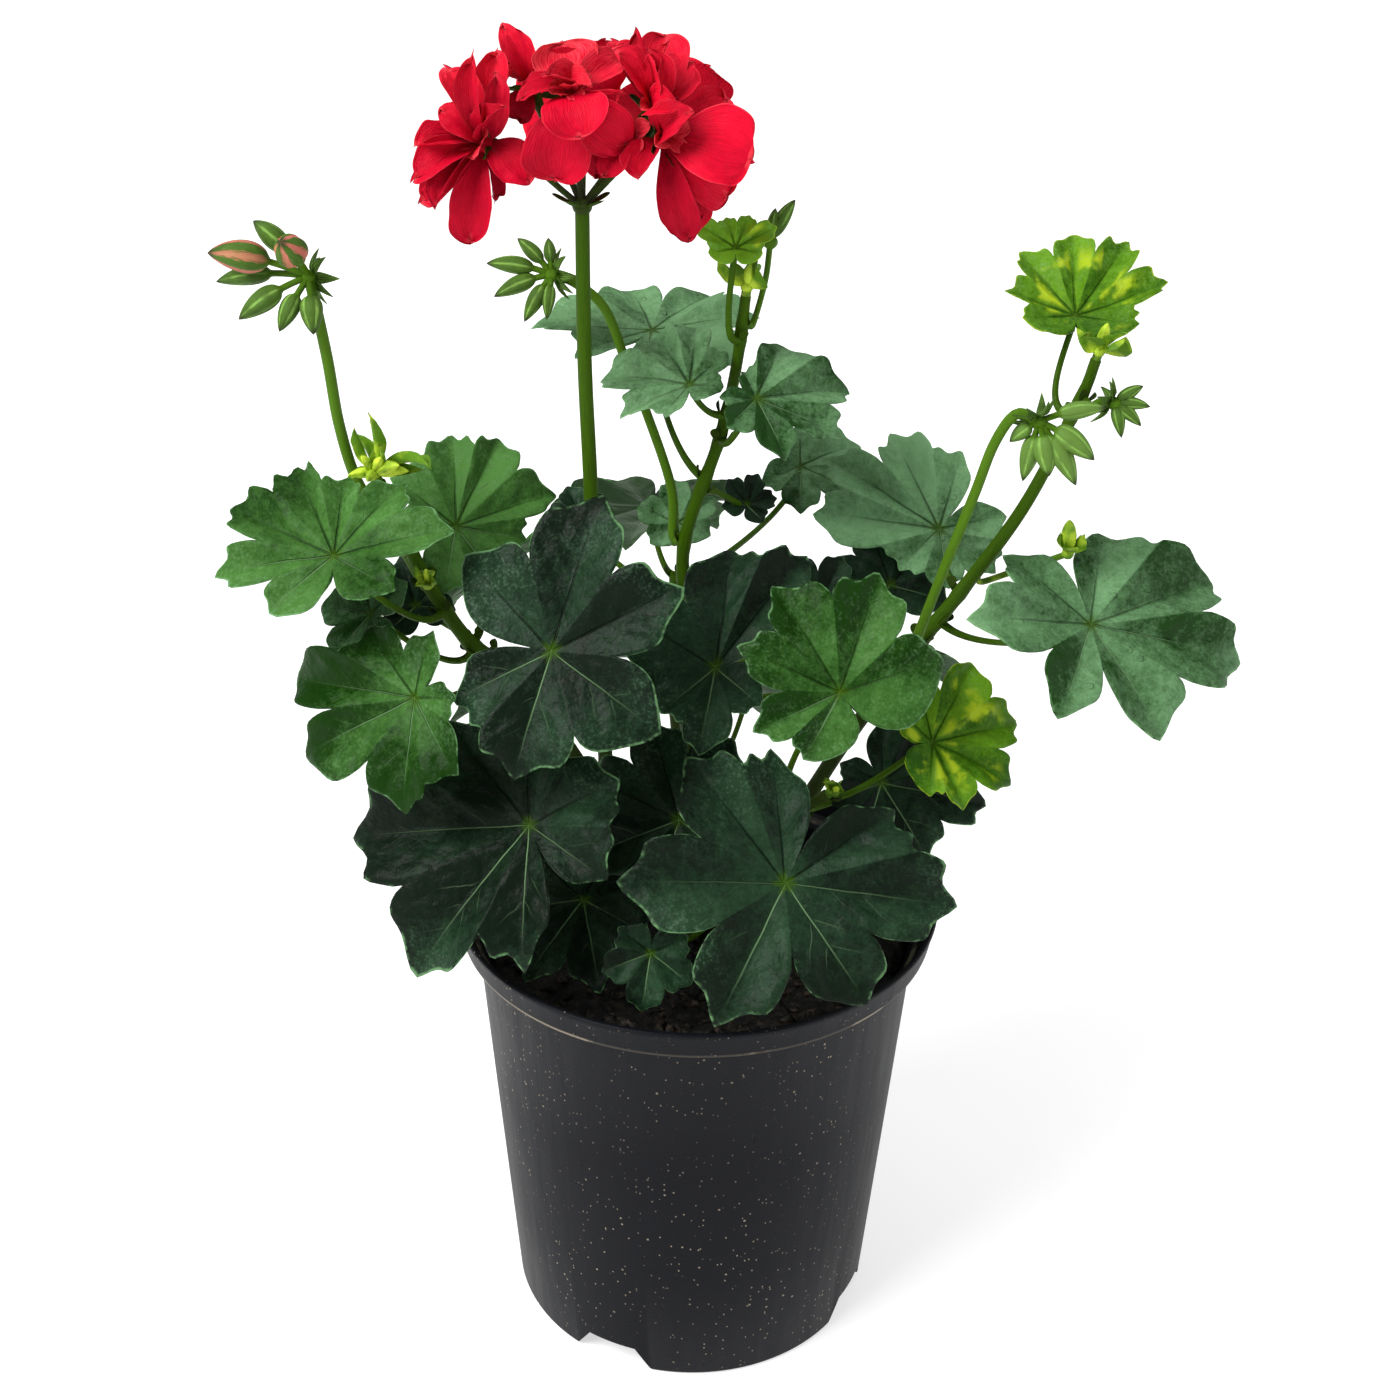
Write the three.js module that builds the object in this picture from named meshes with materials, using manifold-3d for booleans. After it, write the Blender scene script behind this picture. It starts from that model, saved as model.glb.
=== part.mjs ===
// An ivy geranium growing in a round nursery pot, with one red double flower head and four bud heads.
// Millimetres, +Z up. The origin is the middle of the pot's underside, and -Y is the plant's front.

import * as THREE from "three";
import * as BufferGeometryUtils from "three/addons/utils/BufferGeometryUtils.js";
import Module from "manifold-3d";

// Pot
const POT_HEIGHT = 137;
const RIM_RADIUS = 70;
const RIM_BAND_HEIGHT = 8.6;
const RIM_BAND_TAPER = 1.4;
const LEDGE_RADIUS = 64;
const BASE_RADIUS = 54.4;
const WALL = 1.6;
const BASE_THICKNESS = 2;
const POT_SIDES = 36;
const DRAIN_SLOTS = [-25, 65, 155, 245];
const DRAIN_SPREAD = 26;
const DRAIN_HEIGHT = 7.8;
const DRAIN_REACH = 12;

// Soil
const SOIL_LEVEL = 123;
const SOIL_LUMP = 1.3;
const SOIL_SIDES = 24;
const SOIL_RINGS = 5;
const SOIL_FOOT_RADIUS = 38;
const SOIL_SHOULDER_HEIGHT = 10;
const STEM_FOOT = 98;

// Clearance between one piece and the next
const GAP = 0.35;

// Blades
const BLADE_THICKNESS = 0.8;
const PETAL_THICKNESS = 0.7;
const PETIOLE_RADIUS = 1.05;
const PETIOLE_FLARE = 0.45;
const BASAL_CUT = 0.14;
const LOBE_STEPS = [-1, -0.58, 0, 0.58];
const VEIN_MIDDLE = 0.55;

const wasm = await Module();
wasm.setup();

const plant = new THREE.Group();
const up = new THREE.Vector3(0, 0, 1);
const vec = (p) => new THREE.Vector3(...p);
const rad = THREE.MathUtils.degToRad;

// Materials, by what they are
const finishes = {
  pot: { color: 0x26282a, roughness: 0.45, metalness: 0 },
  soil: { color: 0x1d1712, roughness: 0.95, metalness: 0 },
  stem: { color: 0x6d8f35, roughness: 0.5, metalness: 0 },
  darkLeaf: { color: 0x1f4a30, roughness: 0.4, metalness: 0 },
  leaf: { color: 0x3a7a34, roughness: 0.45, metalness: 0 },
  greyLeaf: { color: 0x5d8a68, roughness: 0.5, metalness: 0 },
  youngLeaf: { color: 0x9cc63a, roughness: 0.5, metalness: 0 },
  bud: { color: 0x7aa04a, roughness: 0.5, metalness: 0 },
  petal: { color: 0xd0142a, roughness: 0.5, metalness: 0 },
};
const materials = Object.fromEntries(
  Object.entries(finishes).map(([name, finish]) => [name, new THREE.MeshStandardMaterial(finish)]),
);

function addPiece(name, geometry, finish) {
  const mesh = new THREE.Mesh(geometry, materials[finish]);
  mesh.name = name;
  plant.add(mesh);
  return mesh;
}

// Closed meshes to solids and back
function solidOf(geometry) {
  const bare = geometry.clone();
  bare.deleteAttribute("normal");
  bare.deleteAttribute("uv");
  const merged = BufferGeometryUtils.mergeVertices(bare, 1e-4);
  return new wasm.Manifold(
    new wasm.Mesh({
      numProp: 3,
      vertProperties: new Float32Array(merged.attributes.position.array),
      triVerts: new Uint32Array(merged.index.array),
    }),
  );
}

function geometryOf(solid) {
  const mesh = solid.getMesh();
  const geometry = new THREE.BufferGeometry();
  geometry.setAttribute("position", new THREE.BufferAttribute(mesh.vertProperties, 3));
  geometry.setIndex(new THREE.BufferAttribute(mesh.triVerts, 1));
  geometry.computeVertexNormals();
  return geometry;
}

function join(geometries) {
  const solids = geometries.map(solidOf);
  return geometryOf(solids.reduce((whole, next) => whole.add(next)));
}

// A closed mesh from points and triangles
function meshOf(points, triangles) {
  const geometry = new THREE.BufferGeometry();
  geometry.setAttribute(
    "position",
    new THREE.Float32BufferAttribute(points.flatMap((p) => [p.x, p.y, p.z]), 3),
  );
  geometry.setIndex(triangles.flat());
  geometry.computeVertexNormals();
  return geometry;
}

// A smooth curve through hand-placed points; its parameter counts the points, so 2.5 is midway from 2 to 3
class Route {
  constructor(points) {
    this.curve = new THREE.CatmullRomCurve3(points.map(vec), false, "catmullrom", 0.5);
    this.last = points.length - 1;
  }
  point(at) {
    return this.curve.getPoint(at / this.last);
  }
  direction(at) {
    return this.curve.getTangent(at / this.last);
  }
}

// Stations from 0 to 1 in even steps
const even = (steps) => Array.from({ length: steps + 1 }, (_, i) => i / steps);

// A round tube along a curve, closed at both ends; radiusAt takes 0 at the start to 1 at the end
function tube(curve, radiusAt, stations, sides) {
  const points = [];
  const triangles = [];
  const steps = stations.length - 1;
  const across = new THREE.Vector3();
  for (const station of stations) {
    const centre = curve.getPointAt(station);
    const along = curve.getTangentAt(station);
    const radius = radiusAt(station);
    if (points.length === 0) {
      across.set(Math.abs(along.x) > 0.7 ? 0 : 1, Math.abs(along.x) > 0.7 ? 1 : 0, 0);
    }
    across.projectOnPlane(along).normalize();
    const second = along.clone().cross(across);
    for (let j = 0; j < sides; j += 1) {
      const turn = (2 * Math.PI * j) / sides;
      const point = centre
        .clone()
        .addScaledVector(across, radius * Math.cos(turn))
        .addScaledVector(second, radius * Math.sin(turn));
      points.push(point);
    }
  }
  for (let i = 0; i < steps; i += 1) {
    for (let j = 0; j < sides; j += 1) {
      const a = i * sides + j;
      const b = i * sides + ((j + 1) % sides);
      triangles.push([a, b, b + sides], [a, b + sides, a + sides]);
    }
  }
  const start = points.push(curve.getPointAt(0)) - 1;
  const end = points.push(curve.getPointAt(1)) - 1;
  const lastRing = steps * sides;
  for (let j = 0; j < sides; j += 1) {
    const next = (j + 1) % sides;
    triangles.push([start, next, j], [end, lastRing + j, lastRing + next]);
  }
  return meshOf(points, triangles);
}

// A thin blade: the upper face, and the same face moved down along one direction, joined at the edge
function blade(points, triangles, edge, drop) {
  const count = points.length;
  const below = points.map((p) => p.clone().add(drop));
  const faces = triangles.map((t) => t);
  triangles.forEach(([a, b, c]) => faces.push([a + count, c + count, b + count]));
  edge.forEach((a, i) => {
    const b = edge[(i + 1) % edge.length];
    faces.push([a, a + count, b + count], [a, b + count, b]);
  });
  return meshOf([...points, ...below], faces);
}

// Leaves
// Each leaf is set by its junction, where the petiole meets the blade, in millimetres; by the way its upper
// face leans (facing: 0 is the front and 90 the plant's right, tilt: 0 is level); by the turn of its middle
// lobe from downhill; and by its lobes, each an angle from the middle, a length and, where it is given, the
// length of the cut after it. Other cuts are a share of the lobes beside them, deepest round the middle lobe.

function leafAxes({ facing, tilt, turn }) {
  const a = rad(facing);
  const t = rad(tilt);
  const s = rad(turn);
  const normal = new THREE.Vector3(Math.sin(t) * Math.sin(a), -Math.sin(t) * Math.cos(a), Math.cos(t));
  const down = new THREE.Vector3(Math.cos(t) * Math.sin(a), -Math.cos(t) * Math.cos(a), -Math.sin(t));
  const side = normal.clone().cross(down);
  const ahead = down.multiplyScalar(Math.cos(s)).addScaledVector(side, Math.sin(s));
  return { ahead, left: normal.clone().cross(ahead), normal };
}

// The outline's radius and angle at t along a lobe, which runs from -1 at one cut, by 0 at its tip, to 1
function lobeEdge(leaf, index, t) {
  const { lobes, cut } = leaf;
  const [angle, length] = lobes[index];
  const next = lobes[index + Math.sign(t)];
  let cutAngle = t < 0 ? -180 : 180;
  let cutLength = BASAL_CUT * leaf.size;
  if (t !== 0 && next) {
    cutAngle = (angle + next[0]) / 2;
    const stated = t < 0 ? next[2] : lobes[index][2];
    cutLength = stated ?? ((length + next[1]) / 2) * (cut + (0.92 - cut) * Math.abs(cutAngle / 150) ** 2.2);
  }
  const reach = Math.abs(t);
  const swell = 0.62 * (1 - reach ** 3) ** 0.6 + 0.38 * (1 - reach);
  return {
    angle: rad(angle + reach * (cutAngle - angle)),
    radius: t === 0 ? length : cutLength + (length - cutLength) * swell,
  };
}

// Height of the blade over its plane: a cup, a fold along each vein, a droop at the tips and a slow wave
function leafHeight(leaf, radius, angle, t) {
  const { cup = 0.05, fold = 0.13, droop = 0.08, wave = 0.05 } = leaf;
  const q = radius / leaf.size;
  const bowl = cup * q ** 2 - droop * q ** 3;
  const creases = fold * q ** 1.3 * Math.abs(t) ** 1.5;
  const waves = wave * q ** 2 * Math.sin(2 * angle + leaf.at[0]);
  return leaf.size * (bowl + creases + waves);
}

function leafBlade(leaf) {
  const { ahead, left, normal } = leafAxes(leaf);
  const place = (radius, angle, t) =>
    vec(leaf.at)
      .addScaledVector(ahead, radius * Math.cos(angle))
      .addScaledVector(left, radius * Math.sin(angle))
      .addScaledVector(normal, leafHeight(leaf, radius, angle, t) + BLADE_THICKNESS / 2);
  const count = leaf.lobes.length;
  const steps = LOBE_STEPS.length;
  const points = [place(0, 0, 0)];
  const triangles = [];
  for (let i = 0; i < count; i += 1) {
    const tip = lobeEdge(leaf, i, 0);
    points.push(place(tip.radius * VEIN_MIDDLE, tip.angle, 0));
  }
  for (let i = 0; i < count; i += 1) {
    for (const t of LOBE_STEPS) {
      const edge = lobeEdge(leaf, i, t);
      points.push(place(edge.radius, edge.angle, t));
    }
  }
  const outer = (k) => 1 + count + (k % (steps * count));
  for (let i = 0; i < count; i += 1) {
    const vein = 1 + i;
    const first = i * steps;
    triangles.push([0, outer(first), vein], [0, vein, outer(first + steps)]);
    for (let k = first; k < first + steps; k += 1) {
      triangles.push([vein, outer(k), outer(k + 1)]);
    }
  }
  const edge = Array.from({ length: steps * count }, (_, k) => outer(k));
  return blade(points, triangles, edge, normal.multiplyScalar(-BLADE_THICKNESS));
}

// Where a branch that heads for a point starts: just off the stem's side, with the way out from it
function branchStart([stemName, at], toward) {
  const stem = stems[stemName];
  const root = stem.route.point(at);
  const outward = toward.clone().sub(root).projectOnPlane(stem.route.direction(at)).normalize();
  const radius = stem.radius + (stem.tip - stem.radius) * (at / stem.route.last) ** STEM_TAPER;
  return { start: root.addScaledVector(outward, STEM_FLAT * radius + GAP), outward };
}

function petiole(leaf) {
  const { normal } = leafAxes(leaf);
  const end = vec(leaf.at);
  const { start, outward } = branchStart(leaf.from, end);
  const span = start.distanceTo(end);
  const curve = new THREE.CubicBezierCurve3(
    start,
    start.clone().addScaledVector(outward, 0.3 * span),
    end.clone().addScaledVector(normal, -0.32 * span),
    end,
  );
  return tube(curve, (s) => PETIOLE_RADIUS + PETIOLE_FLARE * (1 - s) ** 6, [0, 0.3, 0.65, 1], 5);
}

// Stems, each a curve through hand-placed points from its foot in the soil
const STEM_SIDES = 6;
const STEM_STEPS = 10;
const STEM_TAPER = 1.5;
const STEM_FLAT = 0.97;
const stems = {
  centre: {
    points: [[0, 16, STEM_FOOT], [0, 16, 112], [0, 16, 126], [-3, 14, 170], [-4, 13, 217], [-5, 15, 240],
      [4, 15, 270], [8, 15, 290], [10, 15, 309]],
    radius: 2.2,
    tip: 1.4,
  },
  left: {
    points: [[-14, 10, STEM_FOOT], [-14, 10, 112], [-14.5, 10, 126], [-31, 7, 168], [-51, 3, 203],
      [-63, 2, 214], [-74, 2, 232], [-81, 4, 248], [-86, 5, 260]],
    radius: 2.5,
    tip: 1.7,
  },
  right: {
    points: [[15, 14, STEM_FOOT], [15, 14, 112], [16, 14, 126], [38, 11, 174], [57, 10, 207],
      [71, 11, 228], [87, 14, 253], [100, 20, 281], [103, 20, 292]],
    radius: 2.4,
    tip: 1.5,
  },
  front: {
    points: [[3, -8, STEM_FOOT], [3, -8, 112], [3, -8, 126], [8, -12, 148], [20, -17, 168], [35, -20, 181]],
    radius: 2.2,
    tip: 1.4,
  },
  back: {
    points: [[-3, 34, STEM_FOOT], [-3, 34, 112], [-3, 34, 126], [-6, 42, 158], [-9, 47, 190], [-8, 50, 214]],
    radius: 2.3,
    tip: 1.5,
  },
};
for (const stem of Object.values(stems)) {
  stem.route = new Route(stem.points);
}

function stemSolid(stem) {
  const radiusAt = (s) => stem.radius + (stem.tip - stem.radius) * s ** STEM_TAPER;
  return tube(stem.route.curve, radiusAt, even(STEM_STEPS), STEM_SIDES);
}

const leaves = {
  front: {
    at: [23, -52, 172], facing: 8, tilt: 52, turn: 330,
    from: ["front", 3.7], finish: "darkLeaf",
    lobes: [[-149, 36, 33], [-116, 42, 25], [-64, 44, 21], [0, 41, 18], [61, 38, 25], [109, 46, 35],
      [150, 36]],
  },
  low_left: {
    at: [-44, -42, 183], facing: -25, tilt: 50, turn: 223,
    from: ["left", 2.6], finish: "darkLeaf",
    lobes: [[-151, 27, 24], [-92, 27, 19], [-22, 26, 22], [14, 40, 36], [64, 53, 37], [112, 51, 31],
      [151, 38]],
  },
  mid_left: {
    at: [-38, -34, 230], facing: -15, tilt: 58, turn: 88,
    from: ["left", 4], finish: "darkLeaf",
    lobes: [[-144, 29, 26], [-96, 34, 23], [-26, 35, 17], [35, 38, 25], [83, 42, 24], [144, 36]],
  },
  left: {
    at: [-73, -36, 217], facing: -35, tilt: 60, turn: 326,
    from: ["left", 4.5], finish: "leaf",
    lobes: [[-138, 18, 12], [-86, 27, 26], [-47, 44, 24], [-16, 39, 20], [46, 30, 23], [86, 24, 13],
      [139, 13]],
  },
  upper_left: {
    at: [-94, -22, 250], facing: -25, tilt: 38, turn: 205,
    from: ["left", 5.6], finish: "leaf",
    lobes: [[-130, 22, 15], [-87, 32, 21], [-44, 27, 17], [-7, 25, 22], [20, 33, 26], [54, 38, 21],
      [85, 35, 16], [124, 22]],
  },
  left_back: {
    at: [-68, 18, 242], facing: 20, tilt: 45, turn: 110,
    from: ["left", 5], finish: "leaf",
    lobes: [[-130, 20, 16], [-85, 22, 16], [-38, 20, 19], [-8, 31, 23], [35, 31, 24], [60, 29, 20],
      [110, 23, 14], [145, 15]],
  },
  middle: {
    at: [36, -33, 219], facing: 10, tilt: 55, turn: 214,
    from: ["front", 4.5], finish: "leaf",
    lobes: [[-110, 29, 20], [-58, 34, 25], [-8, 33, 22], [27, 29, 15], [76, 25, 18], [112, 20]],
  },
  middle_back: {
    at: [4, -14, 216], facing: 0, tilt: 50, turn: 290,
    from: ["centre", 3.3], finish: "darkLeaf",
    lobes: [[-146, 42, 33], [-117, 34, 19], [-52, 28, 20], [21, 19, 17], [60, 24, 13], [120, 16]],
  },
  right_young: {
    at: [62, -22, 199], facing: 25, tilt: 50, turn: 85,
    from: ["front", 5], finish: "youngLeaf",
    lobes: [[-105, 15, 14], [-73, 20, 15], [-30, 27, 19], [5, 29, 21], [50, 27, 14], [92, 18, 11],
      [130, 12]],
  },
  right: {
    at: [105, -2, 225], facing: 30, tilt: 42, turn: 358,
    from: ["right", 4.6], finish: "greyLeaf",
    lobes: [[-147, 30, 25], [-104, 37, 17], [-42, 31, 12], [15, 36, 27], [67, 49, 32], [96, 46, 33],
      [148, 31]],
  },
  right_back: {
    at: [66, 27, 240], facing: -10, tilt: 52, turn: 325,
    from: ["right", 5], finish: "greyLeaf",
    lobes: [[-155, 24, 23], [-114, 33, 24], [-84, 40, 28], [-58, 36, 17], [-3, 16, 13], [50, 17, 14],
      [92, 20, 17], [142, 19]],
  },
  top_right: {
    at: [13, 1, 286], facing: 30, tilt: 40, turn: 35,
    from: ["centre", 6], finish: "greyLeaf",
    lobes: [[-140, 10], [-95, 13], [-30, 18, 11], [18, 25, 19], [51, 29, 22], [101, 22, 12], [145, 9]],
    cut: 0.6,
  },
  top_left: {
    at: [-4, 5, 288], facing: -30, tilt: 28, turn: 205,
    from: ["centre", 6.3], finish: "greyLeaf",
    lobes: [[-100, 9], [-44, 14, 12], [-2, 23, 19], [26, 26, 22], [66, 29, 15], [112, 20], [150, 12]],
    cut: 0.6,
  },
  top_back: {
    at: [-15, 42, 291], facing: 0, tilt: 15, turn: 150,
    from: ["centre", 5.6], finish: "greyLeaf",
    lobes: [[-153, 20, 17], [-95, 27, 21], [-44, 31, 23], [-7, 28, 13], [45, 26, 19], [120, 33, 22],
      [152, 24]],
  },
  top_young: {
    at: [98, 29, 301], facing: 0, tilt: 25, turn: 178,
    from: ["right", 6.8], cup: 0.25, finish: "youngLeaf",
    lobes: [[-105, 17], [-70, 26, 17], [-32, 29, 20], [-1, 28, 19], [33, 26, 16], [70, 20], [105, 15]],
    cut: 0.6,
  },
  crown: {
    at: [7, 9, 323], facing: 0, tilt: 65, turn: 180,
    from: ["centre", 7.4], finish: "youngLeaf",
    lobes: [[-100, 7], [-60, 12], [-22, 9], [18, 8], [58, 12], [100, 7]],
    cut: 0.75,
  },
  front_shade: {
    at: [-5, -33, 180], facing: -5, tilt: 48, turn: 200,
    from: ["front", 3.2], finish: "darkLeaf",
    lobes: [[-145, 22], [-95, 25], [-48, 27], [0, 28], [48, 30], [95, 28], [145, 22]],
    cut: 0.65,
  },
  right_low: {
    at: [51, -6, 177], facing: 20, tilt: 50, turn: 20,
    from: ["front", 4.5], finish: "darkLeaf",
    lobes: [[-145, 13], [-98, 16], [-50, 20], [0, 25], [50, 33], [98, 26], [145, 18]],
    cut: 0.65,
  },
  back_right: {
    at: [28, 58, 246], facing: 0, tilt: 32, turn: 60,
    from: ["centre", 4.5], finish: "greyLeaf",
    lobes: [[-120, 13], [-60, 17], [0, 19], [60, 21], [120, 15]],
    cut: 0.62,
  },
  centre_back: {
    at: [-7, 33, 238], facing: -5, tilt: 48, turn: 190,
    from: ["centre", 4.1], finish: "greyLeaf",
    lobes: [[-120, 10], [-60, 13], [0, 14], [60, 13], [120, 10]],
    cut: 0.62,
  },
  centre_shade: {
    at: [12, 28, 246], facing: 5, tilt: 52, turn: 158,
    from: ["centre", 5.5], finish: "darkLeaf",
    lobes: [[-115, 7], [-55, 9], [0, 10], [55, 9], [115, 7]],
    cut: 0.65,
  },
  right_shade: {
    at: [54, 33, 220], facing: 0, tilt: 52, turn: 200,
    from: ["right", 3.6], finish: "darkLeaf",
    lobes: [[-125, 17], [-62, 20], [0, 21], [62, 20], [125, 17]],
    cut: 0.62,
  },
  middle_shade: {
    at: [32, 12, 222], facing: 0, tilt: 52, turn: 180,
    from: ["centre", 3.6], finish: "darkLeaf",
    lobes: [[-125, 12], [-75, 15], [-25, 17], [25, 16], [75, 15], [125, 12]],
    cut: 0.62,
  },
  left_grey: {
    at: [-89, -3, 225], facing: -20, tilt: 50, turn: 270,
    from: ["left", 4.9], finish: "greyLeaf",
    lobes: [[-125, 13], [-62, 16], [0, 16], [62, 16], [125, 12]],
    cut: 0.62,
  },
  left_shade: {
    at: [-79, 11, 221], facing: 0, tilt: 55, turn: 200,
    from: ["left", 4.5], finish: "darkLeaf",
    lobes: [[-115, 11], [-58, 14], [0, 15], [58, 14], [115, 11]],
    cut: 0.62,
  },
  low_front: {
    at: [-31, -30, 152], facing: -10, tilt: 38, turn: 20,
    from: ["front", 2.6], finish: "darkLeaf",
    lobes: [[-145, 17], [-95, 22], [-48, 27], [0, 27], [48, 22], [95, 18], [145, 15]],
    cut: 0.62,
  },
  low_small: {
    at: [-12, -50, 149], facing: 5, tilt: 62, turn: 350,
    from: ["front", 2.3], finish: "darkLeaf",
    lobes: [[-120, 11], [-60, 14], [0, 16], [60, 14], [120, 11]],
    cut: 0.65,
  },
  stalk_shade: {
    at: [-34, 20, 244], facing: 0, tilt: 45, turn: 200,
    from: ["centre", 4.3], finish: "darkLeaf",
    lobes: [[-115, 8], [-58, 10], [0, 11], [58, 10], [115, 8]],
    cut: 0.65,
  },
  back_low_left: {
    at: [-42, 52, 182], facing: 212, tilt: 48, turn: 10,
    from: ["back", 3], finish: "darkLeaf",
    lobes: [[-148, 28], [-98, 35], [-50, 39], [0, 41], [52, 40], [100, 34], [148, 27]],
    cut: 0.5,
  },
  back_low: {
    at: [16, 72, 172], facing: 170, tilt: 48, turn: 350,
    from: ["back", 2.6], finish: "darkLeaf",
    lobes: [[-150, 28], [-104, 36], [-52, 40], [0, 42], [50, 38], [98, 33], [148, 26]],
    cut: 0.5,
  },
  back_right_low: {
    at: [54, 48, 194], facing: 138, tilt: 44, turn: 15,
    from: ["back", 3.5], finish: "leaf",
    lobes: [[-146, 26], [-96, 34], [-48, 38], [2, 38], [52, 37], [100, 32], [148, 26]],
    cut: 0.48,
  },
  back_middle: {
    at: [-16, 66, 230], facing: 192, tilt: 42, turn: 5,
    from: ["back", 5], finish: "leaf",
    lobes: [[-150, 25], [-100, 32], [-50, 35], [0, 36], [50, 36], [102, 32], [150, 25]],
    cut: 0.55,
  },
  back_left: {
    at: [-62, 40, 218], facing: 238, tilt: 42, turn: 350,
    from: ["back", 4.2], finish: "leaf",
    lobes: [[-148, 22], [-96, 29], [-48, 33], [0, 33], [50, 32], [98, 29], [146, 23]],
    cut: 0.5,
  },
};

for (const [name, leaf] of Object.entries(leaves)) {
  leaf.size = leaf.lobes.reduce((sum, lobe) => sum + lobe[1], 0) / leaf.lobes.length;
  addPiece(`leaf_${name}`, join([leafBlade(leaf), petiole(leaf)]), leaf.finish);
}

for (const [name, stem] of Object.entries(stems)) {
  addPiece(`stem_${name}`, stemSolid(stem), "stem");
}

// Petals, bracts and leaflets are all one kind of blade, wedge-shaped with a rounded end. It leaves its root
// at an angle from an axis and bends to a second angle at its tip; turn is its place round the axis.
const PETAL_STATIONS = [0, 0.5, 1];
const LEAFLET_STATIONS = [0, 0.55, 1];
const PETAL_ACROSS = [-1, 0, 1];
const PETAL_WIDEST = 0.68;
const PETAL_CLAW = 0.14;
const SPINE_PARTS = 8;

// Half the petal's width at s along it: narrow at the claw, widest at two thirds, rounded at the tip
function petalHalfWidth(width, s) {
  if (s < PETAL_WIDEST) {
    const rise = Math.sin((Math.PI / 2) * (s / PETAL_WIDEST)) ** 1.4;
    return (width / 2) * (PETAL_CLAW + (1 - PETAL_CLAW) * rise);
  }
  return (width / 2) * Math.sqrt(1 - ((s - PETAL_WIDEST) / 0.36) ** 2);
}

// The wedge's thin solid: spineAt and faceAt give its middle line and the way its upper side looks at s, and
// across it the height is the half width times a twist, a cup and a ruffle
function wedge({ spineAt, faceAt, side, width, cup, ruffle, twist, phase, stations }) {
  const points = [];
  const triangles = [];
  for (const s of stations) {
    const half = petalHalfWidth(width, s);
    for (const v of PETAL_ACROSS) {
      const wave = ruffle * s * Math.abs(v) * Math.sin(5 * s + 3 * v + phase);
      const lift = half * (twist * v + cup * v * v + wave);
      points.push(spineAt(s).addScaledVector(side, v * half).addScaledVector(faceAt(s), lift));
    }
  }
  const columns = PETAL_ACROSS.length;
  const rows = stations.length;
  for (let i = 0; i < rows - 1; i += 1) {
    for (let j = 0; j < columns - 1; j += 1) {
      const a = i * columns + j;
      triangles.push([a, a + columns, a + columns + 1], [a, a + columns + 1, a + 1]);
    }
  }
  const up = Array.from({ length: rows - 1 }, (_, i) => i * columns);
  const across = Array.from({ length: columns }, (_, j) => (rows - 1) * columns + j);
  const back = Array.from({ length: rows - 1 }, (_, i) => (rows - 1 - i) * columns - 1);
  const foot = Array.from({ length: columns - 2 }, (_, j) => columns - 2 - j);
  const edge = [...up, ...across, ...back, ...foot];
  return blade(points, triangles, edge, faceAt(0.5).multiplyScalar(-PETAL_THICKNESS));
}

function petal(shape) {
  const { root, axis, turn, open, length, width } = shape;
  const { cup = 0.2, ruffle = 0.15, stations = LEAFLET_STATIONS, setback = 0, twist = 0 } = shape;
  const ahead = vec(axis).normalize();
  const radial = new THREE.Vector3(0, 0, 1).projectOnPlane(ahead);
  if (radial.length() < 0.2) {
    radial.set(0, 1, 0).projectOnPlane(ahead);
  }
  radial.normalize().applyAxisAngle(ahead, rad(turn));
  const side = ahead.clone().cross(radial);
  const lean = (s) => rad(open[0] + (open[1] - open[0]) * s);
  const start = vec(root)
    .addScaledVector(ahead, setback * Math.cos(lean(0)))
    .addScaledVector(radial, setback * Math.sin(lean(0)));
  const spineAt = (s) => {
    const spine = start.clone();
    const part = (length * s) / SPINE_PARTS;
    for (let k = 0; k < SPINE_PARTS; k += 1) {
      const angle = lean((s * (k + 0.5)) / SPINE_PARTS);
      spine.addScaledVector(ahead, Math.cos(angle) * part);
      spine.addScaledVector(radial, Math.sin(angle) * part);
    }
    return spine;
  };
  const faceAt = (s) => {
    const angle = lean(s);
    return ahead.clone().multiplyScalar(Math.sin(angle)).addScaledVector(radial, -Math.cos(angle));
  };
  return wedge({ spineAt, faceAt, side, width, cup, ruffle, twist, phase: turn, stations });
}

// A petal set by its root and tip. Its upper side looks the way the flower head does, spun by some degrees
// about the petal's length, and bow is the height of its arch as a share of its length.
function placedPetal(root, [tip, width, spin, bow, cup]) {
  const start = vec(root);
  const chord = vec(tip).sub(start);
  const length = chord.length();
  const ahead = chord.normalize();
  const face = vec(HEAD_FACING).projectOnPlane(ahead).normalize().applyAxisAngle(ahead, rad(spin));
  const side = face.clone().cross(ahead);
  const spineAt = (s) =>
    start.clone().addScaledVector(ahead, length * s).addScaledVector(face, 4 * bow * length * s * (1 - s));
  const faceAt = (s) => face.clone().addScaledVector(ahead, -4 * bow * (1 - 2 * s)).normalize();
  const shape = { spineAt, faceAt, side, width, cup, ruffle: PETAL_RUFFLE, twist: 0, phase: spin };
  return wedge({ ...shape, stations: PETAL_STATIONS });
}

// A small rounded knot, where pedicels, petals or leaflets meet
function knot(centre, radius) {
  return new THREE.OctahedronGeometry(radius, 0).translate(...centre);
}

// A branch that leaves a stem squarely and then runs through hand-placed points
const BRANCH_CLEAR = 2;
function branchRoute(from, points) {
  const { start, outward } = branchStart(from, vec(points[0]));
  const clear = start.clone().addScaledVector(outward, BRANCH_CLEAR);
  return new Route([start.toArray(), clear.toArray(), ...points]);
}

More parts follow.
